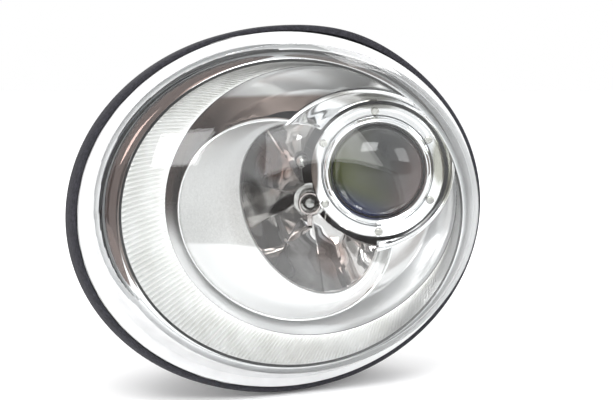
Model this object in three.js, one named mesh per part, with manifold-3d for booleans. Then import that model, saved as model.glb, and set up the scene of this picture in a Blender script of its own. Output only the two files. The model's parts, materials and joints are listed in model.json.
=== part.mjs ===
// A swept oval car headlight: clear domed lens, fluted trim, high-beam reflector, low-beam
// projector, two-axis aiming gear, dust caps, connector and slide-in mounting rail.
// Millimetres, +Z up, X to the right seen from the front, the lens faces -Y.
import * as THREE from "three";
import { mergeVertices } from "three/addons/utils/BufferGeometryUtils.js";
import Module from "manifold-3d";

const wasm = await Module();
wasm.setup();

// ---- Driving dimensions ----
const RING = 40; // segments round the big oval rings

// The rim plane: swept back towards the outboard side and leaning back at the top.
const RIM_AT = [8.3, 4.2, 0];
const RIM_SWEEP = 27;
const RIM_RAKE = 6;
const RIM_TILT = 3;

// The face plane, which holds the bowl's ridge and the hood's lip.
const FACE_AT = [0, -15, 0];
const FACE_SWEEP = 20;
// The plane of the opening that the high-beam reflector shows through.
const MOUTH_AT = [0, 5, 0];
const MOUTH_SWEEP = 12;

const SEAL_RADII = [170.7, 136.6];
const SEAL_BORE = [166.3, 132.6];
const FLANGE_RADII = [165.5, 131.8];
const LENS_WALL_FOOT = [158.5, 125.5];
const LENS_WALL_TOP = [153, 120.5];
const TRIM_TILT = -1;
const LENS_WALL_HEIGHT = 25;
const LENS_DOME_HEIGHT = 75;
const LENS_THICKNESS = 3;

const CHROME_RADII = [150.2, 117.1];
const FLUTE_CENTRE = [-1, -3.4];
const FLUTE_RADII = [140.5, 112.6];
const VALLEY_CENTRE = [21.4, 5.2];
const VALLEY_RADII = [122.6, 100.4];
const VALLEY_DEPTH = -8;

const BOWL_CENTRE = [9.7, -7.6];
const BOWL_RADII = [88.6, 72.6];
const BOWL_TILT = -26.8;
const HOOD_CENTRE = [67.9, 26.8];
const HOOD_RADII = [76.5, 61.8];
const HOOD_TILT = 2;
const MOUTH_CENTRE = [25.4, -1.4];
const MOUTH_RADII = [69.9, 50];
const MOUTH_TILT = -62.7;

// Low-beam projector, along its optical axis.
const LOW = [76.8, 25.6]; // x and z of the axis
const PLATE_Y = 34;
const PLATE_R = 51;
const HOOD_BORE_R = 53.6;
const PROJECTOR_LENS_R = 35;
const SCREW_CIRCLE_R = 46.3;

// High-beam reflector and bulb.
const HIGH = [25, -1];
const HIGH_BULB_Y = 74;
const PARK = [19, 31.5];
const PARK_Y = 71; // where the socket's flange rests

// Aiming gear: the ball pivot, with one adjuster above it and one beside it.
const PIVOT = [-45, 75, -58];
const ADJUST_UP = 58; // z of the vertical adjuster
const ADJUST_OUT = 95; // x of the horizontal adjuster
const BALL_R = 5;
const VERTICAL = [PIVOT[0], ADJUST_UP];
const HORIZONTAL = [ADJUST_OUT, PIVOT[2]];

// Housing.
const REAR_Y = 140;
const REAR_CENTRE = [22, 0];
const REAR_RADII = [122, 104];
const HIGH_CAP = [0, -7];
const LOW_CAP = [87, 34];
const CAP_BORE_R = 37;
const COLLAR_R = 41;
const COLLAR_END_Y = 166;
const CONNECTOR = [-73, 0];
const VENT = [14, 78];
const LOCK = [8, 102, 109.5];

// The part stands on the foam rim in front and on the guide rail behind.
const STAND_Z = 137;
const CENTRE_X = 6.2;
const CENTRE_Y = 43.63;

// ---- Helpers ----
const rad = THREE.MathUtils.degToRad;

function tiltedPlane(at, sweep, rake) {
  const plane = new THREE.Matrix4().makeRotationZ(rad(sweep));
  plane.multiply(new THREE.Matrix4().makeRotationX(rad(-rake)));
  plane.setPosition(at[0], at[1], at[2]);
  return plane;
}

const RIM = tiltedPlane(RIM_AT, RIM_SWEEP, RIM_RAKE);
const FACE = tiltedPlane(FACE_AT, FACE_SWEEP, 0);
const MOUTH = tiltedPlane(MOUTH_AT, MOUTH_SWEEP, 0);
const SQUARE = tiltedPlane([0, 0, 0], 0, 0);

// An oval in a plane, depth behind it, as a point for each direction from its centre.
function oval(plane, centre, radii, tilt, depth) {
  return (angle) => {
    const across = radii[1] * Math.cos(angle - rad(tilt));
    const up = radii[0] * Math.sin(angle - rad(tilt));
    const reach = (radii[0] * radii[1]) / Math.hypot(across, up);
    const x = centre[0] + reach * Math.cos(angle);
    const z = centre[1] + reach * Math.sin(angle);
    return new THREE.Vector3(x, depth, z).applyMatrix4(plane);
  };
}

function dot(plane, centre, depth) {
  const point = new THREE.Vector3(centre[0], depth, centre[1]).applyMatrix4(plane);
  return () => point.clone();
}

// A loop part of the way from one loop to another, pushed along Y.
function between(first, second, share, push = 0) {
  return (angle) => {
    const point = first(angle).lerp(second(angle), share);
    point.y += push;
    return point;
  };
}

// Faces outward whichever way the profile ran.
function facingOut(geometry) {
  const index = geometry.index;
  const position = geometry.getAttribute("position");
  const [a, b, c] = [new THREE.Vector3(), new THREE.Vector3(), new THREE.Vector3()];
  let volume = 0;
  for (let i = 0; i < index.count; i += 3) {
    a.fromBufferAttribute(position, index.getX(i));
    b.fromBufferAttribute(position, index.getX(i + 1));
    c.fromBufferAttribute(position, index.getX(i + 2));
    volume += a.dot(b.cross(c));
  }
  if (volume < 0) {
    for (let i = 0; i < index.count; i += 3) {
      const kept = index.getX(i);
      index.setX(i, index.getX(i + 1));
      index.setX(i + 1, kept);
    }
  }
  return geometry;
}

// Shared corners only: no normals and no texture coordinates.
function welded(geometry) {
  const bare = geometry.index ? geometry.toNonIndexed() : geometry.clone();
  bare.deleteAttribute("normal");
  bare.deleteAttribute("uv");
  return facingOut(mergeVertices(bare, 1e-3));
}

// A lathe whose rings are reshaped into the given loops, in order.
function loft(loops, closed = true, segments = RING) {
  const rings = closed ? [...loops, loops[0]] : loops;
  const profile = rings.map((_, j) => new THREE.Vector2(1 + j, j));
  const lathe = new THREE.LatheGeometry(profile, segments);
  const position = lathe.getAttribute("position");
  for (let i = 0; i <= segments; i += 1) {
    const angle = ((i % segments) / segments) * 2 * Math.PI;
    for (let j = 0; j < rings.length; j += 1) {
      const point = rings[j](angle);
      position.setXYZ(i * rings.length + j, point.x, point.y, point.z);
    }
  }
  return welded(lathe);
}

// A turned shape about a line along Y, from [radius, y] pairs.
function turned(profile, x, z, segments = 24) {
  const points = profile.map(([radius, y]) => new THREE.Vector2(radius, y));
  return welded(new THREE.LatheGeometry(points, segments).translate(x, 0, z));
}

function ringProfile(inner, outer, from, to) {
  return [[inner, from], [outer, from], [outer, to], [inner, to], [inner, from]];
}

function rodProfile(radius, from, to) {
  return [[0, from], [radius, from], [radius, to], [0, to]];
}

function block(x0, x1, y0, y1, z0, z1) {
  const box = new THREE.BoxGeometry(x1 - x0, y1 - y0, z1 - z0);
  return welded(box.translate((x0 + x1) / 2, (y0 + y1) / 2, (z0 + z1) / 2));
}

// A flat outline in X and Z, given a thickness along Y.
function plateY(outline, y0, y1, holes = []) {
  const shape = new THREE.Shape(outline.map(([x, z]) => new THREE.Vector2(x, z)));
  for (const [x, z, radius] of holes) {
    const hole = new THREE.Path();
    hole.absarc(x, z, radius, 0, 2 * Math.PI, true);
    shape.holes.push(hole);
  }
  const options = { depth: y1 - y0, bevelEnabled: false, curveSegments: 12 };
  const geometry = new THREE.ExtrudeGeometry(shape, options);
  return welded(geometry.rotateX(Math.PI / 2).translate(0, y1, 0));
}

// A flat outline in X and Y, given a thickness along Z.
function plateZ(outline, z0, z1, holes = []) {
  const shape = new THREE.Shape(outline.map(([x, y]) => new THREE.Vector2(x, y)));
  for (const [x, y, radius] of holes) {
    const hole = new THREE.Path();
    hole.absarc(x, y, radius, 0, 2 * Math.PI, true);
    shape.holes.push(hole);
  }
  const options = { depth: z1 - z0, bevelEnabled: false, curveSegments: 12 };
  return welded(new THREE.ExtrudeGeometry(shape, options).translate(0, 0, z0));
}

function wire(points, radius, steps, sides = 8) {
  const path = new THREE.CatmullRomCurve3(points.map((p) => new THREE.Vector3(...p)));
  const section = new THREE.Shape();
  section.absarc(0, 0, radius, 0, 2 * Math.PI, false);
  const options = { steps, extrudePath: path, bevelEnabled: false, curveSegments: sides / 2 };
  return welded(new THREE.ExtrudeGeometry(section, options));
}

function solidOf(geometry) {
  const mesh = new wasm.Mesh({
    numProp: 3,
    vertProperties: geometry.getAttribute("position").array,
    triVerts: new Uint32Array(geometry.index.array),
  });
  return new wasm.Manifold(mesh);
}

function geometryOf(solid) {
  const mesh = solid.getMesh();
  const geometry = new THREE.BufferGeometry();
  geometry.setAttribute("position", new THREE.BufferAttribute(mesh.vertProperties, 3));
  geometry.setIndex(new THREE.BufferAttribute(mesh.triVerts, 1));
  return geometry;
}

function joined(first, ...others) {
  let solid = solidOf(first);
  for (const other of others) solid = solid.add(solidOf(other));
  return geometryOf(solid);
}

function cut(first, ...others) {
  let solid = solidOf(first);
  for (const other of others) solid = solid.subtract(solidOf(other));
  return geometryOf(solid);
}

function common(first, second) {
  return geometryOf(solidOf(first).intersect(solidOf(second)));
}

// The largest piece of a shape, without the slivers that a cut leaves at an edge.
function mainPiece(geometry) {
  const pieces = solidOf(geometry).decompose();
  pieces.sort((a, b) => b.volume() - a.volume());
  return geometryOf(pieces[0].simplify(0.02));
}

const grown = (radii, by) => [radii[0] + by, radii[1] + by];

// The hexagon of a screw head or nut, across its corners.
function hexHead(radius, from, to, x, z) {
  return turned(rodProfile(radius, from, to), x, z, 6);
}

// ---- Front: seal, lens, sealant ----
function rimSeal() {
  const ring = (radii, depth) => oval(RIM, [0, 0], radii, RIM_TILT, depth);
  return loft([
    ring(SEAL_BORE, -1.5),
    ring(grown(SEAL_RADII, -1.2), -3),
    ring(SEAL_RADII, 1),
    ring(SEAL_RADII, 10),
    ring(grown(SEAL_RADII, -1.5), 13),
    ring(SEAL_BORE, 13),
  ]);
}

const domeHeight = (share) =>
  LENS_WALL_HEIGHT + (LENS_DOME_HEIGHT - LENS_WALL_HEIGHT) * (1 - share ** 3.6);

// One skin of the lens dome, in from its wall, as loops of a shrinking oval.
function domeLoops(inset, shares) {
  return shares.map((share) => {
    if (share === 0) return dot(RIM, [0, 0], inset - LENS_DOME_HEIGHT);
    const radii = [LENS_WALL_TOP[0] * share - inset, LENS_WALL_TOP[1] * share - inset];
    return oval(RIM, [0, 0], radii, 0, inset * 0.9 - domeHeight(share));
  });
}

function outerLens() {
  const ring = (radii, depth) => oval(RIM, [0.2, 0], radii, RIM_TILT, depth);
  const foot = (by, depth) => oval(RIM, [0.3, 0], grown(LENS_WALL_FOOT, by), 0.6, depth);
  const shares = [1, 0.95, 0.84, 0.66, 0.4, 0];
  const outer = domeLoops(0, shares);
  const inner = domeLoops(LENS_THICKNESS, [...shares].reverse());
  return loft(
    [
      ...inner,
      foot(-LENS_THICKNESS, -5),
      foot(-LENS_THICKNESS, -0.4),
      ring(FLANGE_RADII, -0.4),
      ring(FLANGE_RADII, -4.4),
      foot(1, -4.8),
      foot(0, -7),
      ...outer,
    ].reverse(),
    false,
  );
}

function lensSealant() {
  const ring = (radii, depth) => oval(RIM, [0, 0], radii, RIM_TILT, depth);
  return loft([
    ring([163, 129.3], 0),
    ring([163, 129.3], 2.6),
    ring([158, 124.3], 2.6),
    ring([158, 124.3], 0),
  ]);
}

// ---- Fixed trim behind the lens ----
function outerBezel() {
  const ring = (radii, depth) => oval(RIM, [0, -1.2], radii, TRIM_TILT, depth);
  const inner = (by, depth) => oval(RIM, FLUTE_CENTRE, grown(FLUTE_RADII, by), TRIM_TILT, depth);
  const front = ring(CHROME_RADII, -12);
  const lip = inner(0.6, -22);
  const past = grown(VALLEY_RADII, 3.4);
  // The skirt leaves room for the fluted band where the band reaches out as far as the skirt.
  const bandRoom = loft(
    [
      dot(RIM, VALLEY_CENTRE, -10.4),
      oval(RIM, VALLEY_CENTRE, past, 2, -10.4),
      oval(RIM, VALLEY_CENTRE, past, 2, 12),
      dot(RIM, VALLEY_CENTRE, 12),
    ],
    false,
  );
  const bezel = loft([
    ring(CHROME_RADII, 2),
    front,
    between(front, lip, 0.3, -3.2),
    between(front, lip, 0.65, -3),
    lip,
    inner(1.2, -21.2),
    between(front, lip, 0.7, -1.6),
    ring(grown(CHROME_RADII, -1.4), -9.8),
    ring(grown(CHROME_RADII, -1.4), 2),
  ]);
  return mainPiece(cut(bezel, bandRoom));
}

function flutedBezel() {
  const lip = oval(RIM, FLUTE_CENTRE, grown(FLUTE_RADII, -1.4), TRIM_TILT, -22);
  const inner = oval(RIM, VALLEY_CENTRE, grown(VALLEY_RADII, 0.4), 2, VALLEY_DEPTH);
  const backLip = oval(RIM, FLUTE_CENTRE, grown(FLUTE_RADII, 0.2), TRIM_TILT, -21.4);
  const backInner = oval(RIM, VALLEY_CENTRE, grown(VALLEY_RADII, 2), 2, VALLEY_DEPTH + 0.6);
  return loft([
    lip,
    between(lip, inner, 0.33, 2.4),
    between(lip, inner, 0.66, 2.4),
    inner,
    backInner,
    between(backLip, backInner, 0.66, 2.4),
    between(backLip, backInner, 0.33, 2.4),
    backLip,
  ]);
}

// A straight plug along Y in the shape of an oval that lies in the given plane.
function plug(plane, centre, radii, tilt, depth = 0) {
  const mouth = oval(plane, centre, radii, tilt, depth);
  const at = (push) => between(mouth, mouth, 0, push);
  const middle = (push) => {
    const point = new THREE.Vector3(centre[0], depth, centre[1]).applyMatrix4(plane);
    point.y += push;
    return () => point.clone();
  };
  return loft([middle(-60), at(-60), at(110), middle(110)], false);
}

function innerBezel() {
  const outer = oval(RIM, VALLEY_CENTRE, VALLEY_RADII, 2, VALLEY_DEPTH + 0.4);
  const floor = oval(FACE, [40, 1], [88, 74], 0, 34);
  const centre = dot(FACE, [40, 1], 34);
  const shell = loft(
    [
      dot(FACE, [40, 1], 34),
      between(outer, floor, 1, 0),
      between(outer, floor, 0.6, 5),
      between(outer, floor, 0.25, 4),
      between(outer, floor, 0.05, 3.2),
      between(outer, floor, 0.08, 5.2),
      between(outer, floor, 0.25, 6.6),
      between(outer, floor, 0.6, 7.6),
      between(outer, floor, 1, 2.6),
      between(centre, centre, 0, 2.6),
    ],
    false,
  );
  return cut(
    shell,
    plug(FACE, BOWL_CENTRE, grown(BOWL_RADII, 0.6), BOWL_TILT),
    plug(FACE, HOOD_CENTRE, grown(HOOD_RADII, 0.6), HOOD_TILT),
    plug(MOUTH, MOUTH_CENTRE, grown(MOUTH_RADII, 7), MOUTH_TILT),
  );
}

// An oval of a plane moved straight back along Y.
function pushed(plane, centre, radii, tilt, push) {
  const loop = oval(plane, centre, radii, tilt, 0);
  return between(loop, loop, 0, push);
}

function bowlBezel() {
  const ridge = (by, push) => pushed(FACE, BOWL_CENTRE, grown(BOWL_RADII, by), BOWL_TILT, push);
  const mouth = (by, push) => pushed(MOUTH, MOUTH_CENTRE, grown(MOUTH_RADII, by), MOUTH_TILT, push);
  const top = ridge(-2.4, 1.4);
  const bottom = mouth(0, 0);
  const shell = loft([
    ridge(0, 14),
    ridge(0, 1),
    ridge(-0.8, 0),
    top,
    between(top, bottom, 0.35, 4),
    between(top, bottom, 0.7, 4),
    bottom,
    mouth(-1.6, 1.4),
    mouth(-2, 5),
    mouth(0.4, 5),
    between(top, bottom, 0.7, 6.6),
    between(top, bottom, 0.35, 6.6),
    ridge(-2.2, 4),
    ridge(-2.2, 14),
  ]);
  return cut(shell, plug(FACE, HOOD_CENTRE, grown(HOOD_RADII, 0.4), HOOD_TILT));
}

// The hood opens into the bowl's mouth, so it only arches over and round the projector.

function projectorHood() {
  const lip = (by, push) => pushed(FACE, HOOD_CENTRE, grown(HOOD_RADII, by), HOOD_TILT, push);
  const bore = (by, y) => oval(SQUARE, LOW, grown([HOOD_BORE_R, HOOD_BORE_R], by), 0, y);
  const top = lip(-2.6, 1);
  const bottom = bore(0, PLATE_Y - 3);
  const arch = loft([
    lip(0, 8),
    lip(0, 1),
    lip(-0.9, 0),
    top,
    between(top, bottom, 0.4, 3),
    between(top, bottom, 0.75, 2.4),
    bottom,
    bore(0, PLATE_Y + 1.6),
    bore(1.4, PLATE_Y + 1.6),
    bore(1.4, PLATE_Y - 1),
    between(top, bottom, 0.72, 6),
    between(top, bottom, 0.4, 6.4),
    lip(-2.2, 6),
    lip(-2.2, 8),
  ]);
  const valley = plug(RIM, VALLEY_CENTRE, grown(VALLEY_RADII, -1.2), 2, VALLEY_DEPTH);
  // Past the valley's edge only a thin wall round the bore is left.
  const boreWall = turned(rodProfile(HOOD_BORE_R + 3, 0, PLATE_Y + 8), LOW[0], LOW[1], 36);
  const mouth = plug(MOUTH, MOUTH_CENTRE, grown(MOUTH_RADII, -1.6), MOUTH_TILT);
  return mainPiece(cut(common(arch, joined(valley, boreWall)), mouth));
}

// ---- High beam ----
function highBeamReflector() {
  const rim = (by, push) => pushed(MOUTH, MOUTH_CENTRE, grown(MOUTH_RADII, by), MOUTH_TILT, push);
  const edge = rim(0.5, 16);
  const back = oval(SQUARE, HIGH, [11.4, 11.4], 0, 71);
  const bowed = (share, push) => between(edge, back, share, push);
  const shell = loft([
    rim(3.4, 15.6),
    edge,
    bowed(0.25, 9),
    bowed(0.55, 11.5),
    bowed(0.82, 6),
    back,
    between(back, back, 0, 2.4),
    bowed(0.81, 8.6),
    bowed(0.54, 14.2),
    bowed(0.24, 11.8),
    rim(3.4, 18.4),
  ]);
  const collar = turned(ringProfile(11.4, 21, 70.4, 73.6), HIGH[0], HIGH[1], 24);
  const projectorRoom = turned(
    [[0, -60], [60, -60], [60, 48], [44.4, 48], [44.4, 120], [0, 120]],
    LOW[0],
    LOW[1],
    28,
  );
  const parkHole = turned(rodProfile(6, 20, 100), PARK[0], PARK[1], 16);
  const bulbHole = turned(rodProfile(12.5, 60, 100), HIGH[0], HIGH[1], 24);
  const parkTube = turned(ringProfile(6, 9, 52, PARK_Y - 0.4), PARK[0], PARK[1], 16);
  const underHood = cut(
    plug(FACE, HOOD_CENTRE, grown(HOOD_RADII, 2), HOOD_TILT),
    plug(MOUTH, MOUTH_CENTRE, grown(MOUTH_RADII, -4.2), MOUTH_TILT),
  );
  return cut(joined(shell, collar, parkTube), parkHole, bulbHole, projectorRoom, underHood);
}

function glareTube() {
  const tube = turned(
    [[6.9, 45.5], [9, 45.5], [9.2, 48], [8.8, 59], [6.9, 59], [6.9, 45.5]],
    HIGH[0],
    HIGH[1],
    20,
  );
  const leg = block(HIGH[0] - 2, HIGH[0] + 2, 53, 66, HIGH[1] - 20, HIGH[1] - 17.6);
  const arm = block(HIGH[0] - 2, HIGH[0] + 2, 53, 56, HIGH[1] - 20, HIGH[1] - 8);
  return joined(tube, leg, arm);
}

function highBeamBulb() {
  return turned(
    [
      [0, 49], [3.5, 50], [5.8, 54], [5.8, 64], [7.5, 66], [7.5, 71],
      [11.5, 71], [11.5, HIGH_BULB_Y - 0.2], [13.6, HIGH_BULB_Y - 0.2],
      [13.6, HIGH_BULB_Y + 1.4], [10.5, HIGH_BULB_Y + 1.4], [10.5, 84], [9, 86], [9, 96], [0, 96],
    ],
    HIGH[0],
    HIGH[1],
    20,
  );
}

// The wire clip that holds the bulb's flange down, hinged below it.
function highBulbClip() {
  const y = HIGH_BULB_Y + 3;
  const [x, z] = HIGH;
  return wire(
    [
      [x - 9, y, z - 24], [x + 6, y, z - 24], [x + 11, y, z - 18], [x + 12.6, y, z],
      [x + 9, y, z + 12], [x + 3, y + 2, z + 19], [x + 2, y + 6, z + 21],
    ],
    0.9,
    20,
    6,
  );
}

function clipHinge() {
  const y = HIGH_BULB_Y + 3;
  const [x, z] = HIGH;
  const seat = block(x - 5, x, HIGH_BULB_Y + 0.2, y + 2.4, z - 28, z - 20);
  return cut(seat, block(x - 9, x + 9, y - 1.5, y + 3, z - 25.8, z - 22.2));
}

function positionBulb() {
  return turned(
    [[0, 46], [2.2, 47], [4.6, 51], [4.6, 58], [3.4, 61], [3.4, 70], [0, 70]],
    PARK[0],
    PARK[1],
    14,
  );
}

function positionSocket() {
  const body = turned(
    [
      [3.8, 64], [5.5, 64], [5.5, PARK_Y], [10, PARK_Y], [10, PARK_Y + 3], [8, PARK_Y + 3],
      [8, 83], [0, 83], [0, PARK_Y + 1], [3.8, PARK_Y + 1], [3.8, 64],
    ],
    PARK[0],
    PARK[1],
    20,
  );
  const grip = block(PARK[0] - 1.6, PARK[0] + 1.6, PARK_Y + 1, 92, PARK[1] - 8, PARK[1] + 8);
  return joined(body, grip);
}

// ---- Low-beam projector ----
function projectorPlate() {
  const plate = turned(
    [
      [42.4, PLATE_Y], [49, PLATE_Y], [PLATE_R, PLATE_Y + 1.8], [PLATE_R, PLATE_Y + 5],
      [42.4, PLATE_Y + 5], [42.4, PLATE_Y],
    ],
    LOW[0],
    LOW[1],
    30,
  );
  const holes = screwSpots().map(([x, z]) => turned(rodProfile(2.2, 20, 50), x, z, 6));
  return cut(plate, ...holes);
}

function screwSpots() {
  const spots = [];
  for (let i = 0; i < 6; i += 1) {
    const angle = rad(92 - 60 * i);
    const x = LOW[0] - 0.8 + SCREW_CIRCLE_R * Math.cos(angle);
    const z = LOW[1] - 0.6 + SCREW_CIRCLE_R * Math.sin(angle);
    spots.push([x, z]);
  }
  return spots;
}

function plateScrew([x, z]) {
  return turned(
    [
      [0, PLATE_Y - 1.2], [1.1, PLATE_Y - 1.2], [1.1, PLATE_Y - 2.4], [2.6, PLATE_Y - 2.2],
      [3.2, PLATE_Y - 0.8], [3.2, PLATE_Y - 0.4], [1.5, PLATE_Y - 0.4], [1.5, PLATE_Y + 12],
      [0, PLATE_Y + 13],
    ],
    x,
    z,
    8,
  );
}

function lensRing() {
  return turned(
    [
      [35.6, PLATE_Y - 3], [37, PLATE_Y - 6.2], [39.4, PLATE_Y - 6.6], [41.4, PLATE_Y - 4],
      [42, PLATE_Y], [42, PLATE_Y + 5], [35.6, PLATE_Y + 5], [35.6, PLATE_Y - 3],
    ],
    LOW[0],
    LOW[1],
    30,
  );
}

function projectorLens() {
  return turned(
    [
      [0, 13.5], [9, 14.1], [18, 16.3], [26, 20.2], [32, 25.6], [PROJECTOR_LENS_R, PLATE_Y],
      [PROJECTOR_LENS_R, PLATE_Y + 4.6], [0, PLATE_Y + 4.6],
    ],
    LOW[0],
    LOW[1],
    30,
  );
}

function projectorBarrel() {
  const body = turned(
    [
      [33, PLATE_Y + 5.4], [50.8, PLATE_Y + 5.4], [50.8, PLATE_Y + 9], [40, PLATE_Y + 10],
      [39, 76], [36, 76], [36.5, PLATE_Y + 12], [33, PLATE_Y + 9], [33, PLATE_Y + 5.4],
    ],
    LOW[0],
    LOW[1],
    28,
  );
  const holes = screwSpots().map(([x, z]) => turned(rodProfile(2.2, 20, 50), x, z, 6));
  return cut(body, ...holes);
}

function cutoffShield() {
  const disc = turned(rodProfile(38.4, 76.4, 78), LOW[0], LOW[1], 32);
  const window = block(LOW[0] - 30, LOW[0], 70, 84, LOW[1] - 1.5, LOW[1] + 30);
  const step = block(LOW[0] - 1, LOW[0] + 30, 70, 84, LOW[1] + 1.5, LOW[1] + 30);
  const round = turned(rodProfile(34, 70, 84), LOW[0], LOW[1], 32);
  return cut(disc, common(joined(window, step), round));
}

function projectorReflector() {
  const rings = [];
  const [x, z] = LOW;
  const outer = [[38.4, 78.4], [38.4, 84], [36, 98], [29.5, 114], [16, 129]];
  const inner = outer.map(([r, y]) => [r - 2, y - 1]).reverse();
  inner[inner.length - 1] = [36.4, 78.4];
  rings.push(...outer, [16, 133.4], [11.4, 133.4], [11.4, 128.5], ...inner.slice(1), [38.4, 78.4]);
  return turned(rings, x, z, 26);
}

function lowBeamBulb() {
  return turned(
    [
      [0, 96], [3, 97], [5, 101], [5, 118], [7, 121], [7, 128], [10.8, 128], [10.8, 133.8],
      [15.5, 133.8], [15.5, 135.4], [12.5, 135.4], [12.5, 147], [9, 149], [9, 158], [0, 158],
    ],
    LOW[0],
    LOW[1],
    20,
  );
}

// The ring that twists over the low-beam bulb's flange.
function lowBulbRing() {
  const ring = turned(ringProfile(13.6, 19, 136, 139), LOW[0], LOW[1], 28);
  const skirt = turned(ringProfile(16.8, 19, 131, 136.4), LOW[0], LOW[1], 28);
  const ears = [0, 120, 240].map((turn) => {
    const x = LOW[0] + 19 * Math.cos(rad(turn + 30));
    const z = LOW[1] + 19 * Math.sin(rad(turn + 30));
    return turned(ringProfile(0.9, 2.4, 132, 141), x, z, 8);
  });
  return joined(ring, skirt, ...ears);
}

// ---- Carrier and aiming gear ----

// The carrier sits behind the reflector and holds it, the projector and three ball joints.
function opticsCarrier() {
  const [px, , pz] = PIVOT;
  const outline = [
    [px - 10, pz - 10], [px + 10, pz - 12], [ADJUST_OUT - 8, pz - 12], [ADJUST_OUT + 10, pz - 10],
    [ADJUST_OUT + 12, pz + 12], [LOW[0] + 44, LOW[1] - 24], [LOW[0] + 49, LOW[1] + 6],
    [LOW[0] + 36, LOW[1] + 36], [LOW[0] + 4, LOW[1] + 49], [LOW[0] - 34, LOW[1] + 40],
    [px + 10, ADJUST_UP + 12], [px - 10, ADJUST_UP + 10], [px - 12, ADJUST_UP - 10],
    [px - 12, pz + 12],
  ];
  const holes = [
    [LOW[0], LOW[1], 40.2],
    [px, pz, 7.4],
  ];
  const plate = plateY(outline, 79, 83, holes);
  const bulbWindow = block(HIGH[0] - 23, HIGH[0] + 17, 70, 90, HIGH[1] - 33, HIGH[1] + 22);
  const parkWindow = block(PARK[0] - 12, PARK[0] + 12, 70, 90, PARK[1] - 12, PARK[1] + 12);
  const lightening = plateY(
    [[px + 9, pz + 16], [HIGH[0] - 30, pz + 16], [HIGH[0] - 30, ADJUST_UP - 20], [px + 9, ADJUST_UP - 14]],
    70,
    90,
  );
  const lowerWindow = plateY(
    [[HIGH[0] + 20, pz + 6], [ADJUST_OUT - 12, pz + 6], [ADJUST_OUT - 10, pz + 26], [HIGH[0] + 40, pz + 30]],
    70,
    90,
  );
  const ribs = [
    block(px - 10, ADJUST_OUT + 10, 82.5, 90, pz - 10, pz - 7.5),
    block(px - 11, px - 8.5, 82.5, 90, pz - 10, ADJUST_UP + 9),
  ];
  const sleeve = turned(ringProfile(40.2, 43.4, 68, 83), LOW[0], LOW[1], 28);
  const cups = [VERTICAL, HORIZONTAL].map(([x, z]) => turned(ringProfile(7.4, 10, 70, 84), x, z, 16));
  const cupRooms = [VERTICAL, HORIZONTAL].map(([x, z]) => turned(rodProfile(7.4, 60, 95), x, z, 16));
  const pivotCup = turned(ringProfile(9.4, 12, 66, 84), px, pz, 16);
  const pivotRoom = turned(rodProfile(9.4, 60, 95), px, pz, 16);
  const base = cut(plate, bulbWindow, parkWindow, lightening, lowerWindow);
  const whole = joined(base, sleeve, ...cups, pivotCup, ...ribs);
  const barrelRoom = turned(rodProfile(40.2, 60, 95), LOW[0], LOW[1], 28);
  return cut(whole, pivotRoom, barrelRoom, ...cupRooms);
}

function ballProfile(radius, at, stem, end) {
  const profile = [[0, at - radius]];
  for (let i = 1; i < 7; i += 1) {
    const angle = (i / 7) * Math.PI * 0.84;
    profile.push([radius * Math.sin(angle), at - radius * Math.cos(angle)]);
  }
  profile.push([stem, at + radius + 0.6], [stem, end], [0, end]);
  return profile;
}

// A cup round a ball: open at the back, with room for the stem to swing.
function cupProfile(ball, outer, at, front, back) {
  const profile = [[0, front], [outer, front], [outer, back], [ball * 0.8, back]];
  for (let i = 0; i <= 5; i += 1) {
    const angle = Math.PI * (0.66 - (0.66 * i) / 5);
    profile.push([ball * Math.sin(angle), at - ball * Math.cos(angle)]);
  }
  return profile;
}

function pivotSocket() {
  const [x, y, z] = PIVOT;
  return turned(cupProfile(BALL_R + 1.1, 8.9, y, 67, 79), x, z, 16);
}

function pivotStud() {
  const [x, y, z] = PIVOT;
  const stud = turned(ballProfile(BALL_R + 0.5, y, 2.6, REAR_Y + 6), x, z, 16);
  return joined(stud, hexHead(6, REAR_Y + 0.6, REAR_Y + 5, x, z));
}

function rodSocket([x, z]) {
  return turned(cupProfile(BALL_R, 7, PIVOT[1] + 2, 71, 81), x, z, 14);
}

// Long enough that its threaded end stays in its knob over the whole of its travel.
function adjusterRod([x, z], end) {
  const stem = turned(ballProfile(BALL_R - 0.7, PIVOT[1] + 2, 2.6, end), x, z, 14);
  return joined(stem, turned(rodProfile(4, 96, end), x, z, 14));
}

function adjusterKnob([x, z], from, to) {
  const knob = turned(
    [[5, from], [12, from], [12, to - 1.5], [10.5, to], [5, to], [5, from]],
    x,
    z,
    16,
  );
  const flutes = [];
  for (let i = 0; i < 8; i += 1) {
    const angle = rad(45 * i);
    const at = [x + 13 * Math.cos(angle), z + 13 * Math.sin(angle)];
    flutes.push(turned(rodProfile(2.4, from + 3, to + 1), at[0], at[1], 6));
  }
  return cut(knob, ...flutes);
}

function levellingMotor() {
  const [x, z] = VERTICAL;
  const can = turned(ringProfile(6, 21, REAR_Y + 0.5, 168), x, z, 28);
  const plug = block(x + 14, x + 28, REAR_Y + 6, 162, z - 9, z + 7);
  const plugRoom = block(x + 16, x + 26, 148, 170, z - 7, z + 5);
  const ears = [[-1, 0.2], [0.4, 1]].map(([dx, dz]) => {
    const at = [x + 22.5 * dx, z + 22.5 * dz];
    return turned(ringProfile(2.3, 5, REAR_Y + 0.5, REAR_Y + 4), at[0], at[1], 16);
  });
  const bore = turned(rodProfile(6, 130, 180), x, z, 28);
  return cut(joined(can, plug, ...ears), plugRoom, bore);
}

// ---- Housing ----
const rimLoop = (radii, depth) => oval(RIM, [0, 0], radii, RIM_TILT, depth);
const rearLoop = (by, y) => oval(SQUARE, REAR_CENTRE, grown(REAR_RADII, by), 0, y);

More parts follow.
